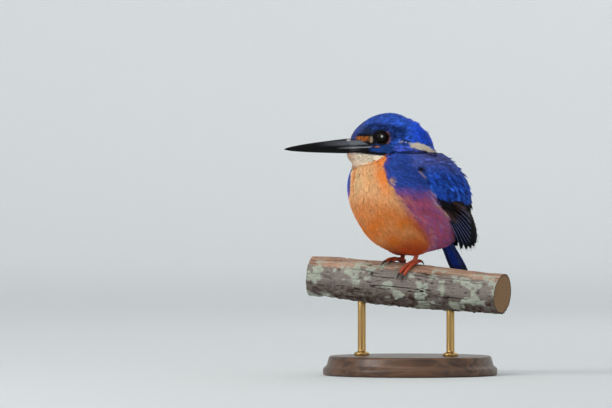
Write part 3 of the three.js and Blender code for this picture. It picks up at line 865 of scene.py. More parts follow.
def grow_spines(roots, length, rise, stray, rng):
    """Polylines that leave the skin at roots and run with the coat, rising to its outline and beyond.

    Returns the spines' points, and at each of them the outward direction and the way the feather runs.
    """
    n = len(roots)
    depth = coat_depth(roots)
    p, out = settle(whole_form, roots, -depth + 0.05 - fold(roots))
    way = flat_on(lie_of_coat(p), out)
    swing = 0.16 * noise(p, 5.0, 7) + rng.normal(0, stray, n)
    way = way * np.cos(swing)[:, None] + np.cross(out, way) * np.sin(swing)[:, None]
    spine, outs, ways = [p], [out], [way]
    for k in range(1, SPINE_STEPS + 1):
        level = -depth + (depth + rise) * (k / SPINE_STEPS) ** 0.75 - fold(p)
        q = keep_off_eyes(p + way * (length / SPINE_STEPS)[:, None])
        q, out = settle(whole_form, q, level, 1)
        way = flat_on(q - p, out)
        p = q
        spine.append(p)
        outs.append(out)
        ways.append(way)
    return tuple(np.stack(x, axis=1) for x in (spine, outs, ways))


class Tuft(NamedTuple):
    """A kind of tuft, in millimetres where nothing else is said."""

    gap: float  # between roots
    length: float
    width: float
    rise: float  # how far the tip stands beyond the outline
    count: int  # how many strands it has
    thin: float  # width of a strand
    stray: float  # how far tufts stray from the lie, in radians


TUFTS = {
    "face": Tuft(0.41, 1.8, 0.75, 0.04, 3, 0.22, 0.10),
    "crown": Tuft(0.50, 3.0, 1.1, 0.06, 5, 0.24, 0.10),
    "throat": Tuft(0.50, 3.0, 1.0, 0.06, 5, 0.22, 0.12),
    "neck_patch": Tuft(0.55, 3.8, 1.1, 0.35, 6, 0.24, 0.14),
    "breast": Tuft(0.55, 4.6, 1.4, 0.10, 7, 0.24, 0.14),
    "belly": Tuft(0.65, 5.2, 1.6, 0.12, 7, 0.26, 0.15),
    "side": Tuft(0.56, 5.2, 1.4, 0.12, 7, 0.24, 0.11),
    "mantle": Tuft(0.68, 5.6, 1.7, 0.15, 8, 0.28, 0.10),
    "covert": Tuft(0.80, 8.0, 2.6, 0.22, 11, 0.30, 0.08),
    "rump": Tuft(0.78, 6.0, 1.7, 0.15, 8, 0.28, 0.10),
}
MOTTLING = {"covert": 0.24, "crown": 0.2}  # how much one blue tuft differs from the next in brightness
PLAIN_MOTTLING = 0.13  # the same for the other kinds

# A strand is cut in three along its length, a pair of points at each cut and one at the tip. The web under
# the strands has three rows of three points and its tip.
STRAND_AT = np.linspace(0, 1, 4)
CUTS = 3
STRAND_POINTS = 7
STRAND_HALF = np.array([0.5, 0.55, 0.42])  # half its width at each cut, as a share of it
# STRAND_FADE and WEB_FADE darken the roots and lighten the tips: partly painted shade deep in the coat, partly
# the feathers' own tone
STRAND_FADE = np.array([0.3, 0.3, 0.05, 0.05, -0.06, -0.06, -0.14])  # how much darker each point is
WEB_AT = np.array([0.0, 0.35, 0.62, 0.86])
WEB_HALF = np.array([0.35, 0.85, 0.8])
WEB_FADE = np.array([0.3, 0.3, 0.3, 0.15, 0.15, 0.15, 0.05, 0.05, 0.05, 0.0])
WEB_UNDER = 0.07  # how far the web lies below the spine
CURL = 0.10  # how far a tuft's sides bend down, as a share of its width
SHOWN_AT = 0.7  # where along a tuft its colour is taken, because the next one covers its root


def tuft_reach(kind, roots, rng):
    """How long each tuft is, and how far its tip stands beyond the outline."""
    n, tuft = len(roots), TUFTS[kind]
    lengths = tuft.length * bpy.context.scene.kingfisher.sizes.feather_length * rng.uniform(0.82, 1.15, n)
    rises = tuft.rise * rng.uniform(-0.3, 1.8, n)
    if kind not in ("crown", "mantle", "covert"):
        return lengths, rises
    loose = (rng.random(n) < 0.05) * rng.uniform(0.4, 1.6, n)  # a few tips stand out
    if kind == "crown":  # most of them on the back of the head
        h = bird_to_head(roots)
        back = ramp(h[:, 0], -1, -7) * ramp(h[:, 2], 1, 5)
        clump = ramp(noise(roots, 2.4, 51), 0.15, 0.5)
        loose = np.maximum(loose * 0.2, back * clump * rng.uniform(0.4, 1.5, n))
        lengths = lengths * (1 + 0.35 * back)
    return lengths, rises + loose


def tuft_strands(tuft, spine, outs, across, rng):
    """The narrow strands of each tuft, fanned out from its root."""
    n, count = len(spine), tuft.count
    u = np.linspace(-1, 1, count)[None, :] + rng.normal(0, 0.5 / count, (n, count))  # across the fan
    ends = 1 - 0.2 * u**2 - rng.uniform(0, 0.22, (n, count))
    at = STRAND_AT[None, None, :] * ends[:, :, None]
    centre, out, side = (along_spine(x, at) for x in (spine, outs, across))
    fan = tuft.width / 2 * (0.25 + 0.75 * at**0.8) * u[:, :, None]
    droop = CURL * tuft.width * (u**2)[:, :, None] * at
    lift = rng.uniform(0, 0.12, (n, count))[:, :, None] * at
    centre = centre + side * fan[..., None] + out * (lift - droop)[..., None]
    half = side[:, :, :CUTS] * (tuft.thin * STRAND_HALF)[:, None]
    pairs = np.stack([centre[:, :, :CUTS] - half, centre[:, :, :CUTS] + half], axis=3)
    return np.concatenate([pairs.reshape(n, count, 2 * CUTS, 3), centre[:, :, CUTS:]], axis=2)


def tuft_web(tuft, spine, outs, across):
    """The leaf-shaped web under the strands of each tuft."""
    n = len(spine)
    at = np.tile(WEB_AT, (n, 1))
    centre, out, side = (along_spine(x, at) for x in (spine, outs, across))
    centre = centre - out * WEB_UNDER
    half = tuft.width / 2 * WEB_HALF
    rows = [centre[:, :3] + side[:, :3] * (k * half[:, None]) for k in (-1, 0, 1)]
    for row in (rows[0], rows[2]):
        row -= out[:, :3] * CURL * tuft.width * WEB_AT[:3, None]
    return np.concatenate([np.stack(rows, axis=2).reshape(n, 9, 3), centre[:, 3:]], axis=1)


def tuft_faces(count):
    """The triangles of one tuft: those of its strands, then those of its web."""
    faces = []
    for start in range(0, count * STRAND_POINTS, STRAND_POINTS):
        tip = start + 2 * (CUTS - 1)
        for a in range(start, tip, 2):
            faces += [(a, a + 1, a + 3), (a, a + 3, a + 2)]
        faces.append((tip, tip + 1, tip + 2))
    web = count * STRAND_POINTS
    for a in (web, web + 1, web + 3, web + 4):
        faces += [(a, a + 1, a + 4), (a, a + 4, a + 3)]
    return np.array(faces + [(web + 6, web + 7, web + 9), (web + 7, web + 8, web + 9)])


def tuft_patch(count):
    """The places of one tuft's points in its patch: a column for each strand and one for the web."""
    u = [j + k for j in range(count) for k in [0, 1] * CUTS + [0.5]]
    u += [count + k for k in [0, 0.5, 1] * 3 + [0.5]]
    strand = [*np.repeat(STRAND_AT[:CUTS], 2), 1]
    web = [*np.repeat([0, 0.35, 0.7], 3), 1]
    return np.stack([np.array(u) / (count + 1), strand * count + web], axis=1)


def tuft_colours(kind, spine, rng):
    """The marking where each tuft shows, darker at its root as painted shade and as the blue feathers' own dark
    bases, and each strand a little of its own.
    """
    n, count = len(spine), TUFTS[kind].count
    base = markings(along_spine(spine, np.full((n, 1), SHOWN_AT))[:, 0])
    blue = np.clip((base[:, 2] - base[:, 0]) * 2.2, 0, 1)
    glint = np.array(bpy.context.scene.kingfisher.plumage.glint)
    glow = (rng.random((n, count)) ** 5) * 0.75 * blue[:, None]
    tuft_shade = rng.normal(0, 0.05 + MOTTLING.get(kind, PLAIN_MOTTLING) * blue[:, None], (n, 1))
    shade = np.exp(rng.normal(0, 0.07 + 0.19 * blue[:, None], (n, count)) + tuft_shade)
    strands = base[:, None] * shade[:, :, None]
    strands = strands + (glint - strands) * glow[:, :, None]
    deep = (0.12 + 0.6 * blue)[:, None, None]  # warm down is pale to its root, blue barbs are dark there, and the dark is also painted shade in the coat
    strands = strands[:, :, None] * (1 - deep * STRAND_FADE)[..., None]
    web = base[:, None] * (1 - deep[..., 0] * WEB_FADE)[..., None]
    return np.concatenate([strands.reshape(n, -1, 3), web], axis=1)


def grow_tufts(name, kind, roots, rng):
    """A piece of coat: for each root a leaf-shaped web under a fan of narrow strands."""
    n, tuft = len(roots), TUFTS[kind]
    spine, outs, ways = grow_spines(roots, *tuft_reach(kind, roots, rng), tuft.stray, rng)
    across = np.cross(outs, ways)
    strands = tuft_strands(tuft, spine, outs, across, rng)
    points = np.concatenate([strands.reshape(n, -1, 3), tuft_web(tuft, spine, outs, across)], axis=1)
    faces = tuft_faces(tuft.count) + (np.arange(n) * points.shape[1])[:, None, None]
    uv = patch_places(roots)[:, None] + (tuft_patch(tuft.count) - 0.5) * PATCH
    points, faces = to_metres(points.reshape(-1, 3)), faces.reshape(-1, 3)
    made = mesh_object(name, points, faces, shared_material("plumage"))
    paint_points(made, tuft_colours(kind, spine, rng).reshape(-1, 3))
    add_map(made, "OFBake", uv.reshape(-1, 2))
    return made


# ---------------- blades, tubes and lathes


def ring_faces(rings, around, loop=False):
    """Quads between rings of that many points around. A loop joins the last ring to the first."""
    faces = []
    for r in range(rings if loop else rings - 1):
        a, b = r * around, (r + 1) % rings * around
        for i in range(around):
            j = (i + 1) % around
            faces.append((a + i, a + j, b + j, b + i))
    return np.array(faces)


def shrunk_end(ring, parts=(0.7, 0.35, 0.02)):
    """Rings that close the end of a tube, each smaller than the last."""
    centre = ring.mean(axis=0)
    return [centre + (ring - centre) * k for k in parts]


def tube(path, radii, around, up=(0, 0, 1)):
    """A closed tube along path with a radius for each of its points."""
    path = np.asarray(path, float)
    way = np.gradient(path, axis=0)
    way /= np.linalg.norm(way, axis=1, keepdims=True)
    ups = flat_on(np.tile(np.array(up, float), (len(path), 1)), way)
    side = np.cross(way, ups)
    turn = np.linspace(0, 2 * np.pi, around, endpoint=False)
    ring = zip(path, radii, side, ups)
    rings = [p + r * (np.cos(turn)[:, None] * s + np.sin(turn)[:, None] * u) for p, r, s, u in ring]
    rings = shrunk_end(rings[0])[::-1] + rings + shrunk_end(rings[-1])
    return np.concatenate(rings), ring_faces(len(rings), around)


def lathe(outline, around, centre=(0, 0)):
    """A turned shape about a vertical axis, from (radius, height) pairs that start and end on the axis."""
    turn = np.linspace(0, 2 * np.pi, around, endpoint=False)
    rings = [
        np.stack([centre[0] + r * np.cos(turn), centre[1] + r * np.sin(turn), np.full(around, z)], axis=1)
        for r, z in outline
    ]
    return np.concatenate(rings), ring_faces(len(rings), around)


BLADE_U = np.array([-1, -0.85, -0.5, -0.12, 0, 0.12, 0.45, 0.84, 0.93, 1.0])  # places across a long feather
BLADE_ROWS = 36
BLADE_POINTED = 0.34  # share of its length over which it narrows to its tip
BLADE_ARCH = 0.22  # height of its arch
BLADE_SHAFT = 0.12  # how far its shaft stands up from it
BLADE_THICK = 0.28


def curve_through(root, bend, tip, t):
    """A smooth curve from root to tip that passes bend half-way."""
    knee = 2 * bend - (root + tip) / 2
    t = np.asarray(t)[:, None]
    return root * (1 - t) ** 2 + 2 * knee * t * (1 - t) + tip * t**2


def blade(root, bend, tip, out, inner, outer, rng):
    """A long feather: a thin closed blade, arched, with a shaft.

    inner and outer are the widths of its vanes. Returns points, faces, and for each point its place across
    the feather, from -1 to 1, and along it, from 0 to 1.
    """
    t = np.linspace(0, 1, BLADE_ROWS)
    spine = curve_through(root, bend, tip, t)
    way = np.gradient(spine, axis=0)
    way /= np.linalg.norm(way, axis=1, keepdims=True)
    out = flat_on(np.tile(out, (BLADE_ROWS, 1)), way)
    side = np.cross(way, out)
    end = np.clip((t - (1 - BLADE_POINTED)) / BLADE_POINTED, 0, 1)
    shape = np.minimum(1, 0.35 + t / 0.14) * np.sqrt(np.clip(1 - end**2.4, 0, 1))
    shape[-1] = 0.04
    u = BLADE_U
    nicks = 1 + 0.02 * rng.standard_normal((BLADE_ROWS, 2)) * (0.3 + t[:, None])
    spans = (np.where(u < 0, inner, outer) * u)[None] * shape[:, None]
    spans[:, :3] *= nicks[:, :1]
    spans[:, -2:] *= nicks[:, 1:]
    shaft = BLADE_SHAFT * np.exp(-((u / 0.08) ** 2))[None] * (1 - 0.7 * t)[:, None]
    height = BLADE_ARCH * (1 - u**2)[None] + shaft
    top = spine[:, None] + side[:, None] * spans[..., None] + out[:, None] * height[..., None]
    under = top - out[:, None] * (BLADE_THICK * (1 - u**4))[None, :, None]
    rows = np.concatenate([top, under[:, 1:-1][:, ::-1]], axis=1)
    rings = [*shrunk_end(rows[0], (0.02,)), *rows, *shrunk_end(rows[-1], (0.02,))]
    along, across = np.meshgrid([0, *t, 1], [*u, *u[1:-1][::-1]], indexing="ij")
    return np.concatenate(rings), ring_faces(len(rings), rows.shape[1]), across.ravel(), along.ravel()


LOOSE_BARBS = 8  # on each long feather


def loose_barbs(bend, tip, out, width, rng):
    """Fine barbs that stand out past the tip of a long feather."""
    way = (tip - bend) / np.linalg.norm(tip - bend)
    out = flat_on(np.array([out], float), way[None])[0]
    side = np.cross(way, out)
    points, faces = [], []
    for _ in range(LOOSE_BARBS):
        across = rng.uniform(-1, 1)
        start = tip - way * rng.uniform(1.5, 5.0) + side * across * width * 0.5 + out * 0.15
        end = start + way * rng.uniform(3.0, 6.5)
        end = end + side * (across * 0.5 + rng.normal(0, 0.2)) + out * rng.uniform(0, 0.3)
        half = side * rng.uniform(0.04, 0.08)
        mid = (start + end) / 2 + out * 0.15
        deep = out * 0.12
        o = len(points)
        points += [start - half, start + half, mid - half * 0.8, mid + half * 0.8, end]
        points += [start - deep, mid - deep]
        faces += [(o, o + 1, o + 3), (o, o + 3, o + 2), (o + 2, o + 3, o + 4)]
        faces += [(o + 1, o + 5, o + 6), (o + 1, o + 6, o + 3), (o + 5, o, o + 2), (o + 5, o + 2, o + 6)]
        faces += [(o + 3, o + 6, o + 4), (o + 6, o + 2, o + 4), (o + 1, o, o + 5)]
    return np.array(points), np.array(faces)


# ---------------- wings and tail


def mix(a, b, t):
    """From a at t = 0 to b at t = 1."""
    return a + (b - a) * t


def through(t, a, b, c):
    """The smooth path through a, b and c at t = 0, 0.5 and 1."""
    a, b, c = (np.array(v, float) for v in (a, b, c))
    return a * (1 - t) * (1 - 2 * t) + b * 4 * t * (1 - t) + c * t * (2 * t - 1)


def flight_line(t):
    """Root, middle and tip of the left wing's feather at t: 0 is the lowest in front, 1 nearest the back."""
    root = through(t, (-4.0, 26.9, 40.0), (-9.0, 27.1, 39.8), (-16.8, 26.4, 39.5))
    bend = through(t, (-20.2, 20.6, 24.4), (-25.6, 20.2, 26.4), (-24.6, 23.6, 34.5))
    tip = through(t, (-30.2, 13.6, 8.2), (-42.6, 9.6, 11.8), (-40.2, 8.5, 27.0))
    return root, bend, tip


def long_feathers(name, feathers, rng, side=1):
    """A piece of blades and one of their loose barbs.

    Each feather is (root, bend, tip, out, inner, outer, base, edge and tip colour). side -1 turns the left
    wing's feathers into the right wing's.
    """
    mirror = np.array([1, side, 1])
    vanes, barbs = ([], []), ([], [])  # the parts and the colours of each piece
    for root, bend, tip, out, inner, outer, base, edge, end in feathers:
        p, f, u, t = blade(root, bend, tip, out, inner, outer, rng)
        c = mixed(np.array(base), end, ramp(t, 0.70, 0.92) * 0.8)
        c *= (1 - 0.75 * ramp(np.abs(u + 0.25), 0.5, 0.2))[:, None]
        c *= (1 + 0.25 * np.sin(t * 190 + u * 26) * (np.abs(u) > 0.1))[:, None]
        c = mixed(c, edge, ramp(u, 0.86, 0.94) * ramp(t, 0.36, 0.54) * ramp(t, 0.94, 0.78))
        vanes[0].append((p * mirror, f[:, ::side]))
        vanes[1].append(c)
        p, f = loose_barbs(bend, tip, out, (inner + outer) / 2, rng)
        barbs[0].append((p * mirror, f[:, ::side]))
        barbs[1].append(np.tile(np.array(end), (len(p), 1)))
    made = []
    for word, (parts, colours) in ((name, vanes), (name + "_barbs", barbs)):
        p, f = joined(parts)
        made.append(mesh_object(word, to_metres(p), f, shared_material("vane")))
        paint_points(made[-1], np.concatenate(colours))
    return made


def flight_out(t):
    """The outward direction of the feather at t, turned so that its front edge lies over the next one."""
    beside = (flight_line(np.clip(t + step, 0, 1)) for step in (-0.06, 0.06))
    low, high = (curve_through(*line, [0.5, 0.6, 0.7]) for line in beside)
    way = (low[2] - low[0]) + (high[2] - high[0])
    out = np.cross(high[1] - low[1], way)
    out *= np.sign(out[1]) / np.linalg.norm(out)
    side = np.cross(way, out)
    return out - 0.24 * side / np.linalg.norm(side)


def flight_feather(t, root_off, bend_off, tip_off):
    """Root, middle, tip and outward direction of a feather at t, laid off the wing's line."""
    out = flight_out(t)
    return *(p + out * off for p, off in zip(flight_line(t), (root_off, bend_off, tip_off))), out


SIDES = ((1, "left"), (-1, "right"))
LONG_COUNT = 9  # feathers in the fan of each wing
SHORT_COUNT = 11  # shorter ones over their roots


class KINGFISHER_OT_flight_feathers(bpy.types.Operator):
    """Long dark feathers of both folded wings, fanned below the coverts"""

    bl_idname = "kingfisher.flight_feathers"
    bl_label = "Flight Feathers"

    def execute(self, context):
        c = context.scene.kingfisher.plumage
        flight, brown = np.array(c.flight), np.array(c.brown)
        rng = np.random.default_rng(31)
        for side, word in SIDES:
            feathers = []
            for i in range(LONG_COUNT):
                t = i / (LONG_COUNT - 1)
                root, bend, tip, out = flight_feather(t, -3.0 - t, 0.7 * t - 1.2, t - 0.9)
                shade = flight * rng.uniform(0.7, 1.1) + brown * 0.35 * ramp(t, 0.75, 1)
                feathers.append((root, bend, tip, out, 4.0, 2.8, shade, c.flight_edge, shade))
            for i in range(SHORT_COUNT):  # with brown edges
                t = i / (SHORT_COUNT - 1)
                root, bend, tip, out = flight_feather(t, -2.7 - 1.2 * t, 0.6 * t - 0.8, t - 0.5)
                reach = rng.uniform(0.42, 0.52) + 0.08 * t
                spot, end = curve_through(root, bend, tip, [reach / 2, reach])
                feathers.append((root, spot, end, out, 3.0, 2.0, brown * 0.55, brown * 1.9, brown * 1.3))
            made, barbs = long_feathers(f"wing_{word}_long_feathers", feathers, rng, side)
            keep(made, "dark_feathers", f"wing_{word}_flight")
            keep(barbs, "dark_feathers")
        return {"FINISHED"}


TAIL_COUNT = 12
TAIL_SPREAD = 12  # degrees between the middle of the tail and each of its sides


class KINGFISHER_OT_tail(bpy.types.Operator):
    """Short tail of twelve feathers"""

    bl_idname = "kingfisher.tail"
    bl_label = "Tail"

    def execute(self, context):
        c = context.scene.kingfisher.plumage
        rng = np.random.default_rng(32)
        tail_blue = np.array(c.nape) * 0.35 + np.array(c.flight) * 0.65
        colours = (tail_blue, c.nape, c.flight)
        middle_one = (TAIL_COUNT - 1) / 2
        feathers = []
        for i in sorted(range(TAIL_COUNT), key=lambda i: -abs(i - middle_one)):  # the middle ones lie on top
            s = (i - middle_one) / middle_one
            a = math.radians(TAIL_SPREAD * s)
            way = np.array([-0.5 * math.cos(a), 0.8 * math.sin(a), -0.866 * math.cos(a)])
            out = np.array([-0.866, 0.12 * s, 0.5])
            root = np.array([-23, 3.5 * s, 19.2]) + out * (0.25 * (middle_one - abs(i - middle_one)) - 0.9)
            reach = way * size("tail") * (1 - 0.08 * s * s)
            feathers.append((root, root + reach / 2 + out * 0.5, root + reach, out, 2.9, 2.9, *colours))
        made, barbs = long_feathers("tail_feathers", feathers, rng)
        keep(made, "dark_feathers", "tail")
        keep(barbs, "dark_feathers")
        return {"FINISHED"}


# ---------------- skin and coat


class KINGFISHER_OT_skin(bpy.types.Operator):
    """One skin under the whole coat, from the blended form"""

    bl_idname = "kingfisher.skin"
    bl_label = "Skin"

    def execute(self, context):
        points, faces = skin_mesh()
        sunk = sink_eyes(points)
        made = mesh_object("skin", to_metres(sunk), faces, shared_material("down"))
        # painted shade: the skin has the markings' colours, a little darker, for the gaps between tufts
        paint_points(made, markings(points) * 0.9)
        keep(made, "blue_plumage", "head", "neck", "trunk", "wing_left", "wing_right")
        return {"FINISHED"}


def areas(p):
    """The name of the coat piece that each point p of the skin belongs to, or "bare"."""
    h = bird_to_head(p)
    x, y, z = h[:, 0], np.abs(h[:, 1]), h[:, 2]
    w, b = face_weights(h), body_weights(p)
    left = p[:, 1] >= 0
    on_head = above_collar(p) > 0
    flank, wing, breast = (b[key] > 0.5 for key in ("flank", "wing", "breast"))
    throat = on_head & (w["throat"] > 0.5)
    by_eye = (np.hypot(x - EYE_AT[0], z - EYE_AT[2]) < EYE_BARE) & (y > EYE_SIDE) & on_head
    under_wing = wing & (b["under_wing"] > 0.5) & ~on_head & (b["rump"] < 0.5)
    layers = (  # each one covers those before it
        ("side_left", left),
        ("side_right", ~left),
        ("flank_left", flank & left),
        ("flank_right", flank & ~left),
        ("belly", breast),
        ("breast", breast & (p[:, 2] > 44)),
        ("vent", b["vent"] > 0.6),
        ("wing_left", wing & left),
        ("wing_right", wing & ~left),
        ("mantle", b["mantle"] > 0.5),
        ("rump", b["rump"] > 0.5),
        ("crown", on_head),
        ("face", on_head & (x > 1) & (z < 9.5)),
        ("crown", on_head & (x < 3) & (z < 0)),
        ("throat", throat),
        ("chin", throat & (w["scaled"] > 0.3)),
        ("neck_patch", on_head & (w["neck_patch"] > 0.4)),
        ("bare", under_wing | by_eye | in_bill(h)),
    )
    name = np.full(len(p), "bare", dtype="U16")
    for word, here in layers:
        name[here] = word
    return name


# Each piece of coat: the kind of its tufts, and its slot.
PIECES = {
    "crown": ("crown", "blue_plumage"),
    "face": ("face", "blue_plumage"),
    "throat": ("throat", "neck_plumage"),
    "chin": ("face", "neck_plumage"),
    "neck_patch": ("neck_patch", "neck_plumage"),
    "breast": ("breast", "underparts"),
    "belly": ("belly", "underparts"),
    "vent": ("belly", "underparts"),
    "flank_left": ("side", "underparts"),
    "flank_right": ("side", "underparts"),
    "side_left": ("side", "blue_plumage"),
    "side_right": ("side", "blue_plumage"),
    "mantle": ("mantle", "blue_plumage"),
    "rump": ("rump", "blue_plumage"),
    "wing_left": ("covert", "blue_plumage"),
    "wing_right": ("covert", "blue_plumage"),
}


class KINGFISHER_OT_coat(bpy.types.Operator):
    """Every small feather, in tufts that grow from the skin and lie along it"""

    bl_idname = "kingfisher.coat"
    bl_label = "Coat"

    def execute(self, context):
        points, faces = skin_mesh()
        for number, (area, (kind, slot)) in enumerate(PIECES.items()):
            rng = np.random.default_rng(100 + number)
            gap = TUFTS[kind].gap * context.scene.kingfisher.sizes.feather_gap
            roots = scatter(points, faces, gap, lambda p, area=area: areas(p) == area, rng)
            made = grow_tufts("coat_" + area, kind, roots, rng)
            keep(made, slot)
        return {"FINISHED"}


# ---------------- bill, eyes and feet

BILL_ROOT = 15  # where the horn starts inside the face, along the head
BILL_FACE = 27  # where it comes out of the face
BILL_LEVEL = -6.0  # height of the line where the mandibles meet, at the face
BILL_DROOP = 2.1  # degrees that the bill points below level
BILL_TAPER = 0.55  # 1 tapers evenly to the tip, less keeps the bill stout for longer
LOWER_SHORT = 0.8  # how much sooner the lower mandible ends
NOSTRIL_AT = 28.0  # in front of the skull's middle


def bill_end(up):
    """How far in front of the skull's middle a mandible ends."""
    return size("bill_tip") - (0 if up > 0 else LOWER_SHORT)


def bill_size(x, up):
    """Height and half-width of one mandible at x of the head's frame."""
    end = bill_end(up)
    left = np.clip((end - x) / (end - BILL_FACE), 0.0, 1)
    near = ramp(x, BILL_ROOT, 30)
    full = size("bill_upper" if up > 0 else "bill_lower")
    tall = np.maximum(full * left**BILL_TAPER, 0.22) * mix(0.72, 1, near)
    wide = np.maximum(size("bill_width") / 2 * left**0.8 * mix(1.08, 0.8, near), 0.3)
    return tall, wide * (1 if up > 0 else 0.96)


def root_taper(x):
    """How far the horn's full height is reached at x, as it thins where it runs in under the face."""
    return mix(0.12, 1, ramp(x, 14.5, 23))


def bill_level(x):
    """Height of the line between the mandibles at x of the head's frame."""
    return BILL_LEVEL - math.sin(math.radians(BILL_DROOP)) * (x - BILL_FACE)


def in_bill(h):
    """Whether points of the head's frame lie inside the bill's base."""
    z = h[:, 2] - bill_level(h[:, 0])
    (upper, _), (lower, _) = bill_size(h[:, 0], 1), bill_size(h[:, 0], -1)
    inside = np.abs(z) < np.where(z > 0, upper, lower) * root_taper(h[:, 0]) - 0.25
    return inside & (h[:, 0] > BILL_ROOT + 0.5)


def flare_base(rings):
    """Spreads the bill's base sideways until its horn lies on the face."""
    p = rings.reshape(-1, 3)
    side = np.where(p[:, 1] < 0, -1.0, 1.0)
    low, high = np.zeros(len(p)), np.full(len(p), 16.0)
    for _ in range(14):
        half = (low + high) / 2
        inside = head_form(head_to_bird(np.stack([p[:, 0], side * half, p[:, 2]], axis=1))) < 0.1
        low, high = np.where(inside, half, low), np.where(inside, high, half)
    own = np.abs(p[:, 1])
    wider = -smooth_min(-own, -high * ramp(own, 0.6, 3.0), 2.5)
    p[:, 1] = side * mix(own, wider, ramp(own, 0.3, 2.0))
    return p.reshape(rings.shape)


def mandible(up):
    """Upper or lower half of the bill, with its ridge, nostrils and cutting edge."""
    t = np.linspace(0, 1, 110)
    x = mix(BILL_ROOT, bill_end(up), 1 - (1 - t) ** 1.35)
    turn = np.linspace(0, 2 * np.pi, 56, endpoint=False)
    tall, wide = bill_size(x, up)
    crest = np.maximum(0, np.cos(turn))
    edge = -0.14 if up > 0 else 0.06  # the upper half's edge closes over the lower one's
    z = mix(edge, tall[:, None], crest[None] ** 0.9)
    y = wide[:, None] * (np.sign(np.sin(turn)) * np.abs(np.sin(turn)) ** 0.75)[None]
    # the sides are a little hollow above the cutting edge, most towards the base
    hollow = 0.07 * np.sin(np.clip(crest, 0, 1) * np.pi)[None] * ramp(x, 60, 22)[:, None]
    y = y * (1 - hollow)
    xs = np.tile(x[:, None], (1, len(turn)))
    if up > 0:  # nostril slits
        side = np.abs(np.sin(turn))[None]
        y = y * (1 - 0.20 * dent(xs, z / tall[:, None], (NOSTRIL_AT, 0.42), (2.4, 0.13)) * side)
    z = z * root_taper(x)[:, None]
    rings = flare_base(np.stack([xs, y, bill_level(xs) + up * z], axis=-1))
    if up < 0:
        rings = rings[:, ::-1]
    rings = [*shrunk_end(rings[0])[::-1], *rings, *shrunk_end(rings[-1], (0.5, 0.02))]
    return np.concatenate(rings), ring_faces(len(rings), len(turn))


def horn_colours(p):
    """Black horn, with painted grey on its upper sides for the sky's reflection and a painted grey highlight
    along the cutting edge towards the face.
    """
    x, z = p[:, 0], p[:, 2] - bill_level(p[:, 0])
    c = np.array(linear("#070708"))
    # painted reflection: a grey band of sky on the upper sides, towards the face
    c = mixed(c, linear("#5e6168"), ramp(x, 50, 26) * ramp(z, 0.9, 1.8) * ramp(z, 4.8, 3.4))
    c = mixed(c, linear("#b0acae"), blob(x, z, (28.4, 4.5), (1.2, 0.7)))  # by the nostril
    # painted highlight: a pale grey line along the cutting edge near the face
    return mixed(c, linear("#808186"), ramp(x, 37, 29) * band(z, -0.25, 0.25, 0.6))


class KINGFISHER_OT_bill(bpy.types.Operator):
    """Dagger bill, upper and lower mandible"""

    bl_idname = "kingfisher.bill"
    bl_label = "Bill"

    def execute(self, context):
        for up, name in ((1, "upper"), (-1, "lower")):
            p, f = mandible(up)
            made = mesh_object(f"bill_{name}_horn", to_metres(head_to_bird(p)), f, shared_material("bill"))
            paint_points(made, p / 100, "grain")  # places along the horn, for the lines in it, in decimetres
            paint_points(made, horn_colours(p))
            keep(made, "bill_horn", f"bill_{name}")
        return {"FINISHED"}


def eyeball(side):
    """The ball of an eye with a raised cornea. Also returns how far each point is from the pupil's middle."""
    lat = np.linspace(0, np.pi, 61)
    turn = np.linspace(0, 2 * np.pi, 64, endpoint=False)
    r = size("eye_radius") * (1 + 0.02 * ramp(lat, 1.2, 0.1))
    lat = np.clip(lat, 0.01, np.pi - 0.01)
    x = (r * np.sin(lat))[:, None] * np.cos(turn)
    z = (r * np.sin(lat))[:, None] * np.sin(turn)
    y = np.tile((r * np.cos(lat))[:, None], (1, len(turn)))
    p = np.stack([x, side * y, z], axis=-1).reshape(-1, 3) + EYE_AT * [1, side, 1]
    faces = ring_faces(len(lat), len(turn))
    return p, faces[:, ::-1] if side > 0 else faces, np.repeat(lat, len(turn))


RIM_RADIUS = 3.62  # of the ring of lids round the eye
RIM_OUT = 2.6  # how far it lies outside the eye's middle


def eye_rim(side):
    """The lids as a beaded ring of bare skin round the eye, wider behind it.

    Also returns how far round the eye each point is, and how far it faces outward, from -1 to 1.
    """
    turn = np.linspace(0, 2 * np.pi, 96, endpoint=False)
    around = np.linspace(0, 2 * np.pi, 12, endpoint=False)
    wide = 0.46 + 0.04 * np.cos(turn * 26)
    r = RIM_RADIUS + wide[:, None] * np.cos(around)
    x = r * np.cos(turn)[:, None] * mix(1.0, 1.12, ramp(np.cos(turn), 0.4, -0.6))[:, None]
    z = r * np.sin(turn)[:, None] * 0.97
    y = EYE_AT[1] + RIM_OUT - 0.4 * np.cos(around)[None] + wide[:, None] * np.sin(around)[None]
    p = np.stack([x + EYE_AT[0], side * y, z + EYE_AT[2]], axis=-1).reshape(-1, 3)
    faces = ring_faces(len(turn), len(around), loop=True)
    return p, faces, np.repeat(turn, len(around)), np.tile(np.cos(around), len(turn))


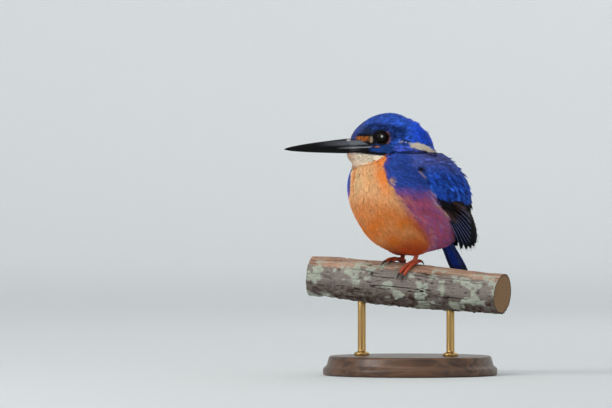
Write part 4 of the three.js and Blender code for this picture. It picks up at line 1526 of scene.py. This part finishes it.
class KINGFISHER_OT_eyes(bpy.types.Operator):
    """Dark eyes with their lids"""

    bl_idname = "kingfisher.eyes"
    bl_label = "Eyes"

    def execute(self, context):
        pupil, iris, edge = linear("#010101"), linear("#050302"), linear("#020101")
        lid, crescent = linear("#070506"), linear("#5a3520")
        for side, word in SIDES:
            p, f, lat = eyeball(side)
            made = mesh_object(f"eye_{word}_ball", to_metres(head_to_bird(p)), f, shared_material("eye"))
            c = mixed(np.array(pupil), iris, ramp(lat, 0.40, 0.46))
            paint_points(made, mixed(c, edge, ramp(lat, 0.62, 0.85)))
            keep(made, "eye", f"eye_{word}")
            p, f, turn, outward = eye_rim(side)
            made = mesh_object(f"eye_{word}_lids", to_metres(head_to_bird(p)), f, shared_material("lid"))
            # painted light: a reddish-brown crescent on the outward face of the lids behind the eye, bare skin
            # shown as lit
            behind = ramp(np.abs(np.angle(np.exp(1j * (turn - np.pi + 0.05)))), 1.0, 0.4)
            paint_points(made, mixed(np.array(lid), crescent, behind * ramp(outward, -0.3, 0.3)))
            keep(made, "eye")
        return {"FINISHED"}


PERCH_YAW = -20  # degrees that the branch is turned about the vertical
PERCH_SLOPE = 5  # and that its right end is lower
PERCH_TOP = 70  # height of its top under the bird
PERCH_MIDDLE = np.array([-2.6, -1.5, 0])  # the point on the floor below its middle
PERCH_TURN = turn_z(PERCH_YAW) @ turn_y(PERCH_SLOPE)


def perch_to_row(p):
    """Points of the branch's own frame, with its axis along X, in the row's frame."""
    return p @ PERCH_TURN.T + PERCH_MIDDLE + [0, 0, PERCH_TOP - size("branch_radius")]


def on_perch(along, angle, off):
    """Points on the branch in the bird's frame: along it, round it from its top, and off its surface."""
    along, angle, r = np.broadcast_arrays(along, angle, size("branch_radius") + off)
    return row_to_bird(perch_to_row(np.stack([along, r * np.sin(angle), r * np.cos(angle)], axis=-1)))


FOOT_ALONG = 5.8  # each foot's place along the branch, from its middle
FOOT_ROUND = -0.33  # and round it, in radians
TOE_OFF = 0.3  # how far a toe's middle line lies off the bark, beyond its own radius
CLAW_THICK = 0.78  # radius of a claw at its root


def toe_route(d, lift, side, way, length, aside):
    """Points at d along a toe that is wrapped over the branch, forward for way -1 and back for 1."""
    spread = aside * side * (1 + 0.5 * d / length)
    slant = -0.4 if way < 0 else 0.25
    angle = FOOT_ROUND * side + way * d / size("branch_radius")
    return on_perch(FOOT_ALONG * side + spread + slant * d, angle, lift)


def toe_and_claw(side, way, length, aside):
    """A padded, scaly toe and its claw."""
    thick = size("toe_radius")
    rest = thick + TOE_OFF
    d = np.linspace(-1, length, 64)
    t = (d + 1) / (length + 1)
    pads = 0.07 * np.cos(t * 5 * np.pi)
    scutes = 0.045 * np.abs(np.sin(d * np.pi / 0.85)) ** 0.5
    route = toe_route(d, rest, side, way, length, aside)
    toe = tube(route, thick * (mix(1.08, 0.8, t) + pads) + scutes, 20)
    t = np.linspace(0, 1, 24)
    route = toe_route(
        mix(length + 0.2, length + size("claw"), t), mix(rest + 0.15, 0.45, t**2), side, way, length, aside
    )
    return toe, tube(route, mix(CLAW_THICK, 0.1, t**1.2), 14)


class KINGFISHER_OT_feet(bpy.types.Operator):
    """Short legs and three-toed feet with their claws"""

    bl_idname = "kingfisher.feet"
    bl_label = "Feet"

    def execute(self, context):
        toe = size("toe")
        toes = (("inner", -1, toe, 1.15), ("outer", -1, toe * 0.9, -1.15), ("hind", 1, size("hind_toe"), 0))
        for side, word in SIDES:
            parts = []
            for key, way, length, aside in toes:
                part, (p, f) = toe_and_claw(side, way, length, aside)
                parts.append(part)
                made = mesh_object(f"claw_{word}_{key}", to_metres(p), f, shared_material("claw"))
                keep(made, "claw_horn", f"leg_{word}_claw_{key}")
            heel = on_perch(np.array([FOOT_ALONG * side]), FOOT_ROUND * side, size("toe_radius") + 0.9)[0]
            knee = np.array([1.5, side * 9.5, 11])
            bend = heel + (knee - heel) * 0.45 + [-1.2, 0, 0]
            t = np.linspace(0, 1, 48)
            scutes = 0.05 * np.abs(np.sin(t * 24)) ** 0.5
            path = curve_through(heel, bend, knee, t)
            parts.append(tube(path, mix(1.35, 1.7, t * t) + scutes, 20, up=(1, 0, 0)))
            p, f = joined(parts)
            made = mesh_object(f"foot_{word}", to_metres(p), f, shared_material("foot"))
            keep(made, "leg_skin", f"leg_{word}")
        return {"FINISHED"}


# ---------------- branch and stand


def bark_radius(x, angle):
    """The branch's radius: a little bent and knotty, never more than its full radius."""
    grain = 0.5 + 0.5 * np.sin(3 * angle + 0.06 * x + 1.1)
    lumps = 0.5 + 0.5 * np.sin(0.11 * x + 2 * angle) * np.cos(0.05 * x - angle)
    far = ramp(np.abs(x), 18, 55)
    return size("branch_radius") - (0.45 * grain + 0.6 * lumps) * (0.35 + 0.65 * far) - 0.8 * far


FIBRE_STRETCH = [6.0, 1, 1]  # how much longer than wide the marks of the wood are


def weathering(p, x, turn):
    """How weather has left the branch at points p of a plain cylinder: a share or a height for each mark."""
    stretched = p / FIBRE_STRETCH
    wander = 0.25 * noise(p, 22, 3) + 0.12 * noise(p, 9, 5)
    cracks = np.abs(noise(stretched, 1.6, 11)) + 0.4 * np.abs(noise(stretched, 0.8, 12))
    deep = np.abs(noise(stretched / [2.2, 1, 1], 2.6, 14))
    spots = noise(p, 7, 19) + 0.55 * noise(p, 2.2, 20)
    return {
        "top": ramp(np.abs(turn + 0.35 + wander), 0.62, 0.5),  # bare wood along the top, towards the front
        "low": ramp(np.cos(turn + wander), -0.1, -0.45),  # crusted bark beneath
        "crack": ramp(cracks, 0.13, 0.03) * ramp(noise(p, 14, 13), -0.45, 0.1),
        "split": ramp(deep, 0.09, 0.02) * ramp(noise(p, 20, 15), -0.1, 0.25),
        "fibre": noise(stretched / [3, 1, 1], 0.5, 16),
        "crust": noise(p, 2.4, 17) + 0.6 * noise(p, 1.1, 18),
        "quiet": 1 - 0.85 * ramp(np.hypot(x / 16, (turn * 14) / 12), 1.25, 0.9),  # where the feet hold it
        "lichen": ramp(spots, 0.05, 0.45) * ramp(np.cos(turn - 0.6 + wander), 0.75, 0.2),
    }


def bark_height(m):
    """How far the bark stands out from the branch's even form, from its marks."""
    worn = -0.5 * m["top"] + 0.16 * m["fibre"] - m["crack"] * (1 - 0.6 * m["top"]) - 1.6 * m["split"]
    grown = 0.42 * m["crust"] * m["low"] + 0.35 * m["lichen"] * np.maximum(m["crust"], 0)
    return (worn + grown) * m["quiet"] - 0.25


def bark_colours(p, m):
    """Sun-greyed bark, browner beneath, with pale bare wood, lichen, and dark cracks."""
    stretched = p / FIBRE_STRETCH
    layers = (
        ("#4a382e", np.clip(m["low"] * (0.55 + 0.5 * m["crust"]), 0, 1)),
        ("#b48f78", m["top"]),
        ("#c8ad97", m["top"] * ramp(noise(stretched, 3.0, 21), 0.0, 0.5) * 0.7),
        ("#4a382e", m["top"] * ramp(noise(stretched, 2.0, 22), 0.2, 0.55) * 0.5),
        ("#b9bfae", m["lichen"] * 0.85),
        (CRACK_COLOUR, np.clip(m["crack"] * 0.8 + m["split"], 0, 1)),
    )
    c = np.array(linear("#8d837c"))
    for colour, weight in layers:
        c = mixed(c, linear(colour), weight)
    return c * (1 + 0.12 * m["fibre"])[:, None]


BARK_ROWS = 260
BARK_AROUND = 240
BARK_OVER = 0.3  # the most that the bark stands out beyond the branch's full radius
END_RINGS = np.linspace(0.985, 0.015, 40)  # sizes of the rings that fill each cut end
END_SLANT = 1.5  # how far the saw cut leans to each side of square
CRACK_COLOUR = "#2a1e18"


def cut_end(ring, turn, side):
    """The rings that close one end, with a slanting saw cut and shallow growth rings."""
    rings = [ring * [1, k, k] for k in END_RINGS]
    for made, k in zip(rings, END_RINGS):
        made[:, 0] += END_SLANT * np.sin(turn) * (k - 1) * side
        made[:, 0] -= side * 0.10 * (0.5 + 0.5 * np.sin(k * 60))
    return rings


class KINGFISHER_OT_branch(bpy.types.Operator):
    """Cut length of dead branch with weathered bark, cracks and lichen"""

    bl_idname = "kingfisher.branch"
    bl_label = "Branch"

    def execute(self, context):
        half, full = size("branch") / 2, size("branch_radius")
        along = np.linspace(-half, half, BARK_ROWS)
        x, turn = np.meshgrid(along, np.linspace(0, 2 * np.pi, BARK_AROUND, endpoint=False), indexing="ij")
        even = np.stack([x, full * np.sin(turn), full * np.cos(turn)], axis=-1).reshape(-1, 3)
        marks = weathering(even, x.ravel(), np.angle(np.exp(1j * turn)).ravel())
        r = np.minimum(bark_radius(x, turn).ravel() + bark_height(marks), full + BARK_OVER)
        r = r.reshape(x.shape)
        cut = END_SLANT * np.sin(turn) * (x / half) ** 3  # its ends aren't sawn square
        p = np.stack([x + cut, r * np.sin(turn), r * np.cos(turn)], axis=-1)
        rings = [*cut_end(p[0], turn[0], -1)[::-1], *p, *cut_end(p[-1], turn[-1], 1)]
        faces = ring_faces(len(rings), BARK_AROUND)
        made = mesh_object("branch", perch_to_row(np.concatenate(rings)) * MM, faces, shared_material("bark"))

        growth = 0.5 + 0.5 * np.sin(END_RINGS * 75 + 1.3 * np.sin(END_RINGS * 13))
        wood = shaded(linear("#9c7a5b"), 0.72 + 0.4 * growth)
        wood[:2] = linear(CRACK_COLOUR)
        end = np.repeat(wood, BARK_AROUND, axis=0)
        paint_points(made, np.concatenate([end[::-1], bark_colours(even, marks), end]))
        keep(made, "bark", "perch")
        return {"FINISHED"}


ROD_SPREAD = 29  # from the branch's middle to each rod
ROD_SINK = 9  # how far each rod goes up into the branch
AXIS = 0.01  # radius of the small ring that closes a turned piece on its axis
# Radii and heights of the collar round the foot of each rod.
COLLAR = ((4.6, 0), (4.8, 0.3), (4.8, 1.4), (4.4, 1.9), (3.2, 2.2), (2.9, 2.6))


class KINGFISHER_OT_stand(bpy.types.Operator):
    """Turned wooden base and two metal rods"""

    bl_idname = "kingfisher.stand"
    bl_label = "Stand"

    def execute(self, context):
        radius, height = size("base_radius"), size("base_height")
        outline = [(AXIS, 0), (radius * 0.5, 0), (radius - 1, 0), (radius, 1), (radius, 4.2)]
        outline += [(radius - 2.4, 6.4), (radius - 3.6, height - 1), (radius - 4.6, height)]
        outline += [(radius * k, height) for k in (0.75, 0.5, 0.25)] + [(AXIS, height)]
        fine = [outline[0]]
        for (r0, z0), (r1, z1) in zip(outline[:-1], outline[1:]):  # each edge is eased a little
            fine += [(mix(r0, r1, k), mix(z0, z1, k)) for k in (0.06, 0.5, 0.94)]
        p, f = lathe([*fine, outline[-1]], 192)
        made = mesh_object("base_wood", p * MM, f, shared_material("walnut"))
        keep(made, "stand_wood", "stand_base")
        rod = size("rod_radius")
        for side, word in ((-1, "left"), (1, "right")):
            foot = turn_z(PERCH_YAW) @ np.array([side * ROD_SPREAD, 0, 0]) + PERCH_MIDDLE
            drop = side * ROD_SPREAD * math.sin(math.radians(PERCH_SLOPE))
            end = PERCH_TOP - 2 * size("branch_radius") + ROD_SINK - drop
            outline = [(AXIS, height), *((r, height + z) for r, z in COLLAR), (rod, height + 3.0)]
            outline += [(rod, (height + end) / 2), (rod, end), (AXIS, end)]
            p, f = lathe(outline, 64, foot[:2])
            made = mesh_object(f"rod_{word}", p * MM, f, shared_material("brass"))
            modifier = made.modifiers.new("edges", "BEVEL")
            modifier.width = 0.2 * MM
            modifier.segments = 2
            keep(made, "stand_metal", f"stand_rod_{word}")
        return {"FINISHED"}


# ---------------- stage


class KingfisherStage(bpy.types.PropertyGroup):
    distance: number_property("Camera distance", 3.16, "From the camera to the bird", unit="LENGTH")
    lens: number_property("Lens", 300.0, "Focal length in millimetres")
    aim_x: number_property("Aim across", -0.0645, "Where the camera looks, to the side", unit="LENGTH")
    aim_z: number_property("Aim height", 0.106, "Where the camera looks, above the floor", unit="LENGTH")
    key_power: number_property("Key light", 10.0, "Power of the soft light in front of the breast")
    catch_power: number_property("Catch light", 110.0, "Power of the lamp mirrored in the eyes")
    fill_power: number_property("Fill light", 2.0, "Power of the soft lights at the side and behind")
    sun: number_property("Window light", 1.9, "Strength of the soft light from above the camera")
    sky: number_property("Sky", 0.75, "Strength of the pale light all round")
    backdrop: colour_property("Backdrop", "#d9dcdc", "Pale floor and backdrop")


LIGHTS_AIM = Vector((0, 0, 0.1))


def soft_light(name, place, across, power):
    """A round lamp of that width that faces the bird."""
    light = bpy.data.lights.new(name, "AREA")
    light.shape = "DISK"
    light.size = across
    light.energy = power
    made = bpy.data.objects.new(name, light)
    made.location = place
    made.rotation_euler = (LIGHTS_AIM - Vector(place)).to_track_quat("-Z", "Y").to_euler()
    bpy.context.scene.collection.objects.link(made)
    return made


class KINGFISHER_OT_stage(bpy.types.Operator):
    """Pale floor that curves up into a backdrop, soft lights and the camera"""

    bl_idname = "kingfisher.stage"
    bl_label = "Stage"

    def execute(self, context):
        scene = context.scene
        s = scene.kingfisher.stage
        outline = [(0.001, 0.0), (1.0, 0.0), (2.5, 0.0), (4.0, 0.0), (5.0, 0.0)]
        outline += [(5 + 3 * math.sin(a), 3 - 3 * math.cos(a)) for a in np.linspace(0.08, math.pi / 2, 18)]
        outline += [(8.0, 6.0), (8.0, 9.0)]
        p, f = lathe(outline, 96)
        floor = mesh_object("floor", p, f, shared_material("floor"))

        soft_light("key", (-1.25, -0.75, 0.75), 0.8, s.key_power)
        soft_light("fill", (1.2, -1.1, 0.5), 0.9, s.fill_power)
        catch = soft_light("catch_light", (0.28, -1.3, 0.58), 1.2, s.catch_power)
        shiny = bpy.data.collections.new("lit_by_catch_light")
        scene.collection.children.link(shiny)
        for word in ("left", "right"):
            shiny.objects.link(bpy.data.objects[f"eye_{word}_ball"])
        catch.light_linking.receiver_collection = shiny
        soft_light("back", (0.5, 1.2, 1.1), 0.8, s.fill_power)

        window = bpy.data.lights.new("window", "SUN")
        window.energy = s.sun
        window.angle = math.radians(50)
        made = bpy.data.objects.new("window", window)
        made.rotation_euler = (math.radians(48), 0, math.radians(-22))
        scene.collection.objects.link(made)

        world = bpy.data.worlds.new("pale_sky")
        world.use_nodes = True
        tree = world.node_tree
        tree.nodes.clear()
        sky = add_node(tree, "ShaderNodeBackground", {"Color": opaque("#eef1f4"), "Strength": s.sky})
        add_node(tree, "ShaderNodeOutputWorld", None, {"Surface": sky.outputs["Background"]})
        scene.world = world

        camera = bpy.data.cameras.new("camera")
        camera.lens = s.lens
        camera.sensor_width = 36
        camera.clip_end = 100
        made = bpy.data.objects.new("camera", camera)
        made.location = (s.aim_x, -s.distance, s.aim_z)
        made.rotation_euler = (math.pi / 2, 0, 0)
        scene.collection.objects.link(made)
        scene.camera = made
        scene.view_settings.view_transform = "Standard"
        return {"FINISHED"}


# ---------------- materials by name


def noise_value(tree, place, size_mm, detail=3.0, low=0.0, high=1.0, stretch=(1, 1, 1)):
    """Noise with cells of that size, spread from low to high."""
    scaled = add_node(tree, "ShaderNodeMapping", {"Scale": stretch}, {"Vector": place})
    grain = add_node(
        tree,
        "ShaderNodeTexNoise",
        {"Scale": 1 / (size_mm * MM), "Detail": detail, "Roughness": 0.6},
        {"Vector": scaled.outputs["Vector"]},
    )
    spread = add_node(
        tree,
        "ShaderNodeMapRange",
        {"From Min": 0.3, "From Max": 0.7, "To Min": low, "To Max": high},
        {"Value": grain.outputs["Fac"]},
    )
    return spread.outputs["Result"]


def painted(tree, size_mm, low, high):
    """The mesh's own colours, mottled by noise."""
    colour = add_node(tree, "ShaderNodeAttribute", {"attribute_name": "plumage"})
    place = add_node(tree, "ShaderNodeTexCoord").outputs["Object"]
    shade = noise_value(tree, place, size_mm, low=low, high=high)
    tinted = add_node(
        tree, "ShaderNodeVectorMath", {"operation": "SCALE"}, {0: colour.outputs["Color"], "Scale": shade}
    )
    return tinted.outputs["Vector"], place


def feather_keratin(tree):
    """Contour feathers, matt keratin with a faint silky sheen, mottled where barbules lump each 0.5 mm."""
    colour, _ = painted(tree, 0.5, 0.8, 1.2)
    finish_material(
        tree,
        {"Roughness": 0.6, "Specular IOR Level": 0.14, "Sheen Weight": 0.04, "Sheen Roughness": 0.4},
        {"Base Color": colour},
    )


def down_feather(tree):
    """Down and skin under the coat, seen only as shadow between tufts: the markings, painted a little darker as
    painted shade.
    """
    colour, _ = painted(tree, 1.0, 0.7, 1.2)
    finish_material(tree, {"Roughness": 0.9, "Specular IOR Level": 0.1}, {"Base Color": colour})


def vane_keratin(tree):
    """Flight feather: blackish keratin, smoother and glossier than down, ribbed by its barbs."""
    colour, place = painted(tree, 0.6, 0.8, 1.25)
    ribs = noise_value(tree, place, 0.5)
    relief = add_node(tree, "ShaderNodeBump", {"Strength": 0.3, "Distance": 0.1 * MM}, {"Height": ribs})
    finish_material(
        tree,
        {"Roughness": 0.6, "Specular IOR Level": 0.05},
        {"Base Color": colour, "Normal": relief.outputs["Normal"]},
    )


def polished_horn(tree):
    """Bill horn, black keratin polished by use: long grain lines in its grey, soft gloss."""
    colour = add_node(tree, "ShaderNodeAttribute", {"attribute_name": "plumage"}).outputs["Color"]
    along = add_node(tree, "ShaderNodeAttribute", {"attribute_name": "grain"}).outputs["Color"]
    lines = noise_value(tree, along, 6.0, low=0.6, high=1.4, stretch=(0.08, 1, 1))  # 0.6 mm, in decimetres
    lined = add_node(tree, "ShaderNodeVectorMath", {"operation": "SCALE"}, {0: colour, "Scale": lines})
    rough = noise_value(tree, along, 14.0, low=0.38, high=0.52, stretch=(0.1, 1, 1))
    relief = add_node(tree, "ShaderNodeBump", {"Strength": 0.25, "Distance": 0.05 * MM}, {"Height": lines})
    finish_material(
        tree,
        {"Specular IOR Level": 0.16},
        {"Base Color": lined.outputs["Vector"], "Roughness": rough, "Normal": relief.outputs["Normal"]},
    )


def worn_claw(tree):
    """Claw keratin, dark brown to black with a worn satin face."""
    place = add_node(tree, "ShaderNodeTexCoord").outputs["Object"]
    fibre = noise_value(tree, place, 0.4)
    tones = {"data_type": "RGBA", DARK: opaque("#120b08"), LIGHT: opaque("#38261c")}
    tone = add_node(tree, "ShaderNodeMix", tones, {SHARE: fibre}).outputs[MIXED]
    finish_material(tree, {"Roughness": 0.35}, {"Base Color": tone})


def eye_cornea(tree):
    """Live eye: dark iris under a wet clear cornea that mirrors the light."""
    colour, _ = painted(tree, 0.3, 0.8, 1.2)
    wet = {"Coat Weight": 0.38, "Coat Roughness": 0.02, "Coat IOR": 1.376}
    finish_material(tree, {"Roughness": 0.5, "Specular IOR Level": 0.0, **wet}, {"Base Color": colour})


def lid_skin(tree):
    """Bare eyelid skin: dark, fine-grained, slightly moist."""
    colour, place = painted(tree, 0.35, 0.7, 1.3)
    pores = noise_value(tree, place, 0.25)
    relief = add_node(tree, "ShaderNodeBump", {"Strength": 0.4, "Distance": 0.08 * MM}, {"Height": pores})
    finish_material(
        tree,
        {"Roughness": 0.6, "Specular IOR Level": 0.12},
        {"Base Color": colour, "Normal": relief.outputs["Normal"]},
    )


def foot_skin(tree):
    """Scaly foot skin, orange-red, darker in the seams between its scales; matt with a faint shine."""
    place = add_node(tree, "ShaderNodeTexCoord").outputs["Object"]
    cells = {"feature": "DISTANCE_TO_EDGE", "Scale": 1 / (0.55 * MM)}
    scales = add_node(tree, "ShaderNodeTexVoronoi", cells, {"Vector": place}).outputs["Distance"]
    edges = add_node(tree, "ShaderNodeMapRange", {"From Min": 0.02, "From Max": 0.2}, {"Value": scales})
    edges = edges.outputs["Result"]
    tones = {"data_type": "RGBA", DARK: opaque("#8f3a1f"), LIGHT: opaque("#d9562c")}
    tone = add_node(tree, "ShaderNodeMix", tones, {SHARE: edges}).outputs[MIXED]
    relief = add_node(tree, "ShaderNodeBump", {"Strength": 0.5, "Distance": 0.12 * MM}, {"Height": edges})
    finish_material(
        tree,
        {"Roughness": 0.5, "Subsurface Weight": 0.08, "Subsurface Scale": 0.001},
        {"Base Color": tone, "Normal": relief.outputs["Normal"]},
    )


def weathered_bark(tree):
    """Dead branch, sun-greyed: dry rough wood and bark, no gloss, fine pits and fibres."""
    colour, place = painted(tree, 0.8, 0.72, 1.22)
    pits = noise_value(tree, place, 0.7, detail=6.0)
    relief = add_node(tree, "ShaderNodeBump", {"Strength": 0.6, "Distance": 0.35 * MM}, {"Height": pits})
    finish_material(
        tree,
        {"Roughness": 0.92, "Specular IOR Level": 0.15},
        {"Base Color": colour, "Normal": relief.outputs["Normal"]},
    )


def oiled_walnut(tree):
    """Turned walnut, oiled: brown figure in long bands, satin, with open pores."""
    place = add_node(tree, "ShaderNodeTexCoord").outputs["Object"]
    bent = add_node(tree, "ShaderNodeMapping", {"Scale": (1.0, 9.0, 9.0)}, {"Vector": place})
    waves = {"Scale": 1 / (45 * MM), "Detail": 6.0, "Roughness": 0.55, "Distortion": 0.6}
    figure = add_node(tree, "ShaderNodeTexNoise", waves, {"Vector": bent.outputs["Vector"]}).outputs["Fac"]
    bands = add_node(tree, "ShaderNodeMapRange", {"From Min": 0.35, "From Max": 0.65}, {"Value": figure})
    tones = {"data_type": "RGBA", DARK: opaque("#3a2417"), LIGHT: opaque("#6d4a30")}
    tone = add_node(tree, "ShaderNodeMix", tones, {SHARE: bands.outputs["Result"]}).outputs[MIXED]
    pores = noise_value(tree, place, 0.8, stretch=(0.12, 1, 1))
    relief = add_node(tree, "ShaderNodeBump", {"Strength": 0.25, "Distance": 0.08 * MM}, {"Height": pores})
    finish_material(
        tree,
        {"Roughness": 0.42, "Coat Weight": 0.15, "Coat Roughness": 0.25},
        {"Base Color": tone, "Normal": relief.outputs["Normal"]},
    )


def brushed_brass(tree):
    """Lacquered brass rod, turned and lightly brushed: a soft even gloss."""
    finish_material(tree, {"Base Color": opaque("#c8a165"), "Metallic": 1.0, "Roughness": 0.3})


def matt_backdrop(tree):
    """Seamless paper, pale and matt."""
    place = add_node(tree, "ShaderNodeTexCoord").outputs["Object"]
    fibre = noise_value(tree, place, 6.0, low=0.99, high=1.01)
    paper = {"operation": "SCALE", 0: bpy.context.scene.kingfisher.stage.backdrop}
    colour = add_node(tree, "ShaderNodeVectorMath", paper, {"Scale": fibre}).outputs["Vector"]
    finish_material(tree, {"Roughness": 0.95, "Specular IOR Level": 0.1}, {"Base Color": colour})


MATERIALS = {
    "plumage": feather_keratin,
    "down": down_feather,
    "vane": vane_keratin,
    "bill": polished_horn,
    "claw": worn_claw,
    "eye": eye_cornea,
    "lid": lid_skin,
    "foot": foot_skin,
    "bark": weathered_bark,
    "walnut": oiled_walnut,
    "brass": brushed_brass,
    "floor": matt_backdrop,
}


def shared_material(key):
    """The material of that key, made the first time it is asked for."""
    make = MATERIALS[key]
    material = bpy.data.materials.get(make.__name__)
    if material is None:
        material = bpy.data.materials.new(make.__name__)
        material.use_nodes = True
        material.node_tree.nodes.clear()
        make(material.node_tree)
    return material


# ---------------- panel and main


class KingfisherSettings(bpy.types.PropertyGroup):
    sizes: PointerProperty(type=KingfisherSizes, name="Sizes", description="Lengths of bird, branch, stand")
    plumage: PointerProperty(type=KingfisherPlumage, name="Plumage", description="Colours of the feathers")
    stage: PointerProperty(type=KingfisherStage, name="Stage", description="Camera, light and floor")


OPERATORS = (
    KINGFISHER_OT_skin,
    KINGFISHER_OT_coat,
    KINGFISHER_OT_flight_feathers,
    KINGFISHER_OT_tail,
    KINGFISHER_OT_bill,
    KINGFISHER_OT_eyes,
    KINGFISHER_OT_feet,
    KINGFISHER_OT_branch,
    KINGFISHER_OT_stand,
    KINGFISHER_OT_stage,
)


class KINGFISHER_PT_panel(bpy.types.Panel):
    """Lists the kingfisher's pieces"""

    bl_label = "Kingfisher"
    bl_space_type = "VIEW_3D"
    bl_region_type = "UI"
    bl_category = "Kingfisher"

    def draw(self, context):
        for operator in OPERATORS:
            self.layout.operator(operator.bl_idname)
        for group in ("sizes", "plumage", "stage"):
            settings = getattr(context.scene.kingfisher, group)
            for name in settings.__annotations__:
                self.layout.prop(settings, name)


GROUPS = (KingfisherSizes, KingfisherPlumage, KingfisherStage, KingfisherSettings)
CLASSES = (*GROUPS, *OPERATORS, KINGFISHER_PT_panel)


def register():
    for c in CLASSES:
        bpy.utils.register_class(c)
    bpy.types.Scene.kingfisher = PointerProperty(type=KingfisherSettings)


def unregister():
    del bpy.types.Scene.kingfisher
    for c in reversed(CLASSES):
        bpy.utils.unregister_class(c)


def main():
    register()
    for operator in OPERATORS:
        group, name = operator.bl_idname.split(".")
        getattr(getattr(bpy.ops, group), name)()


if __name__ == "__main__":
    main()
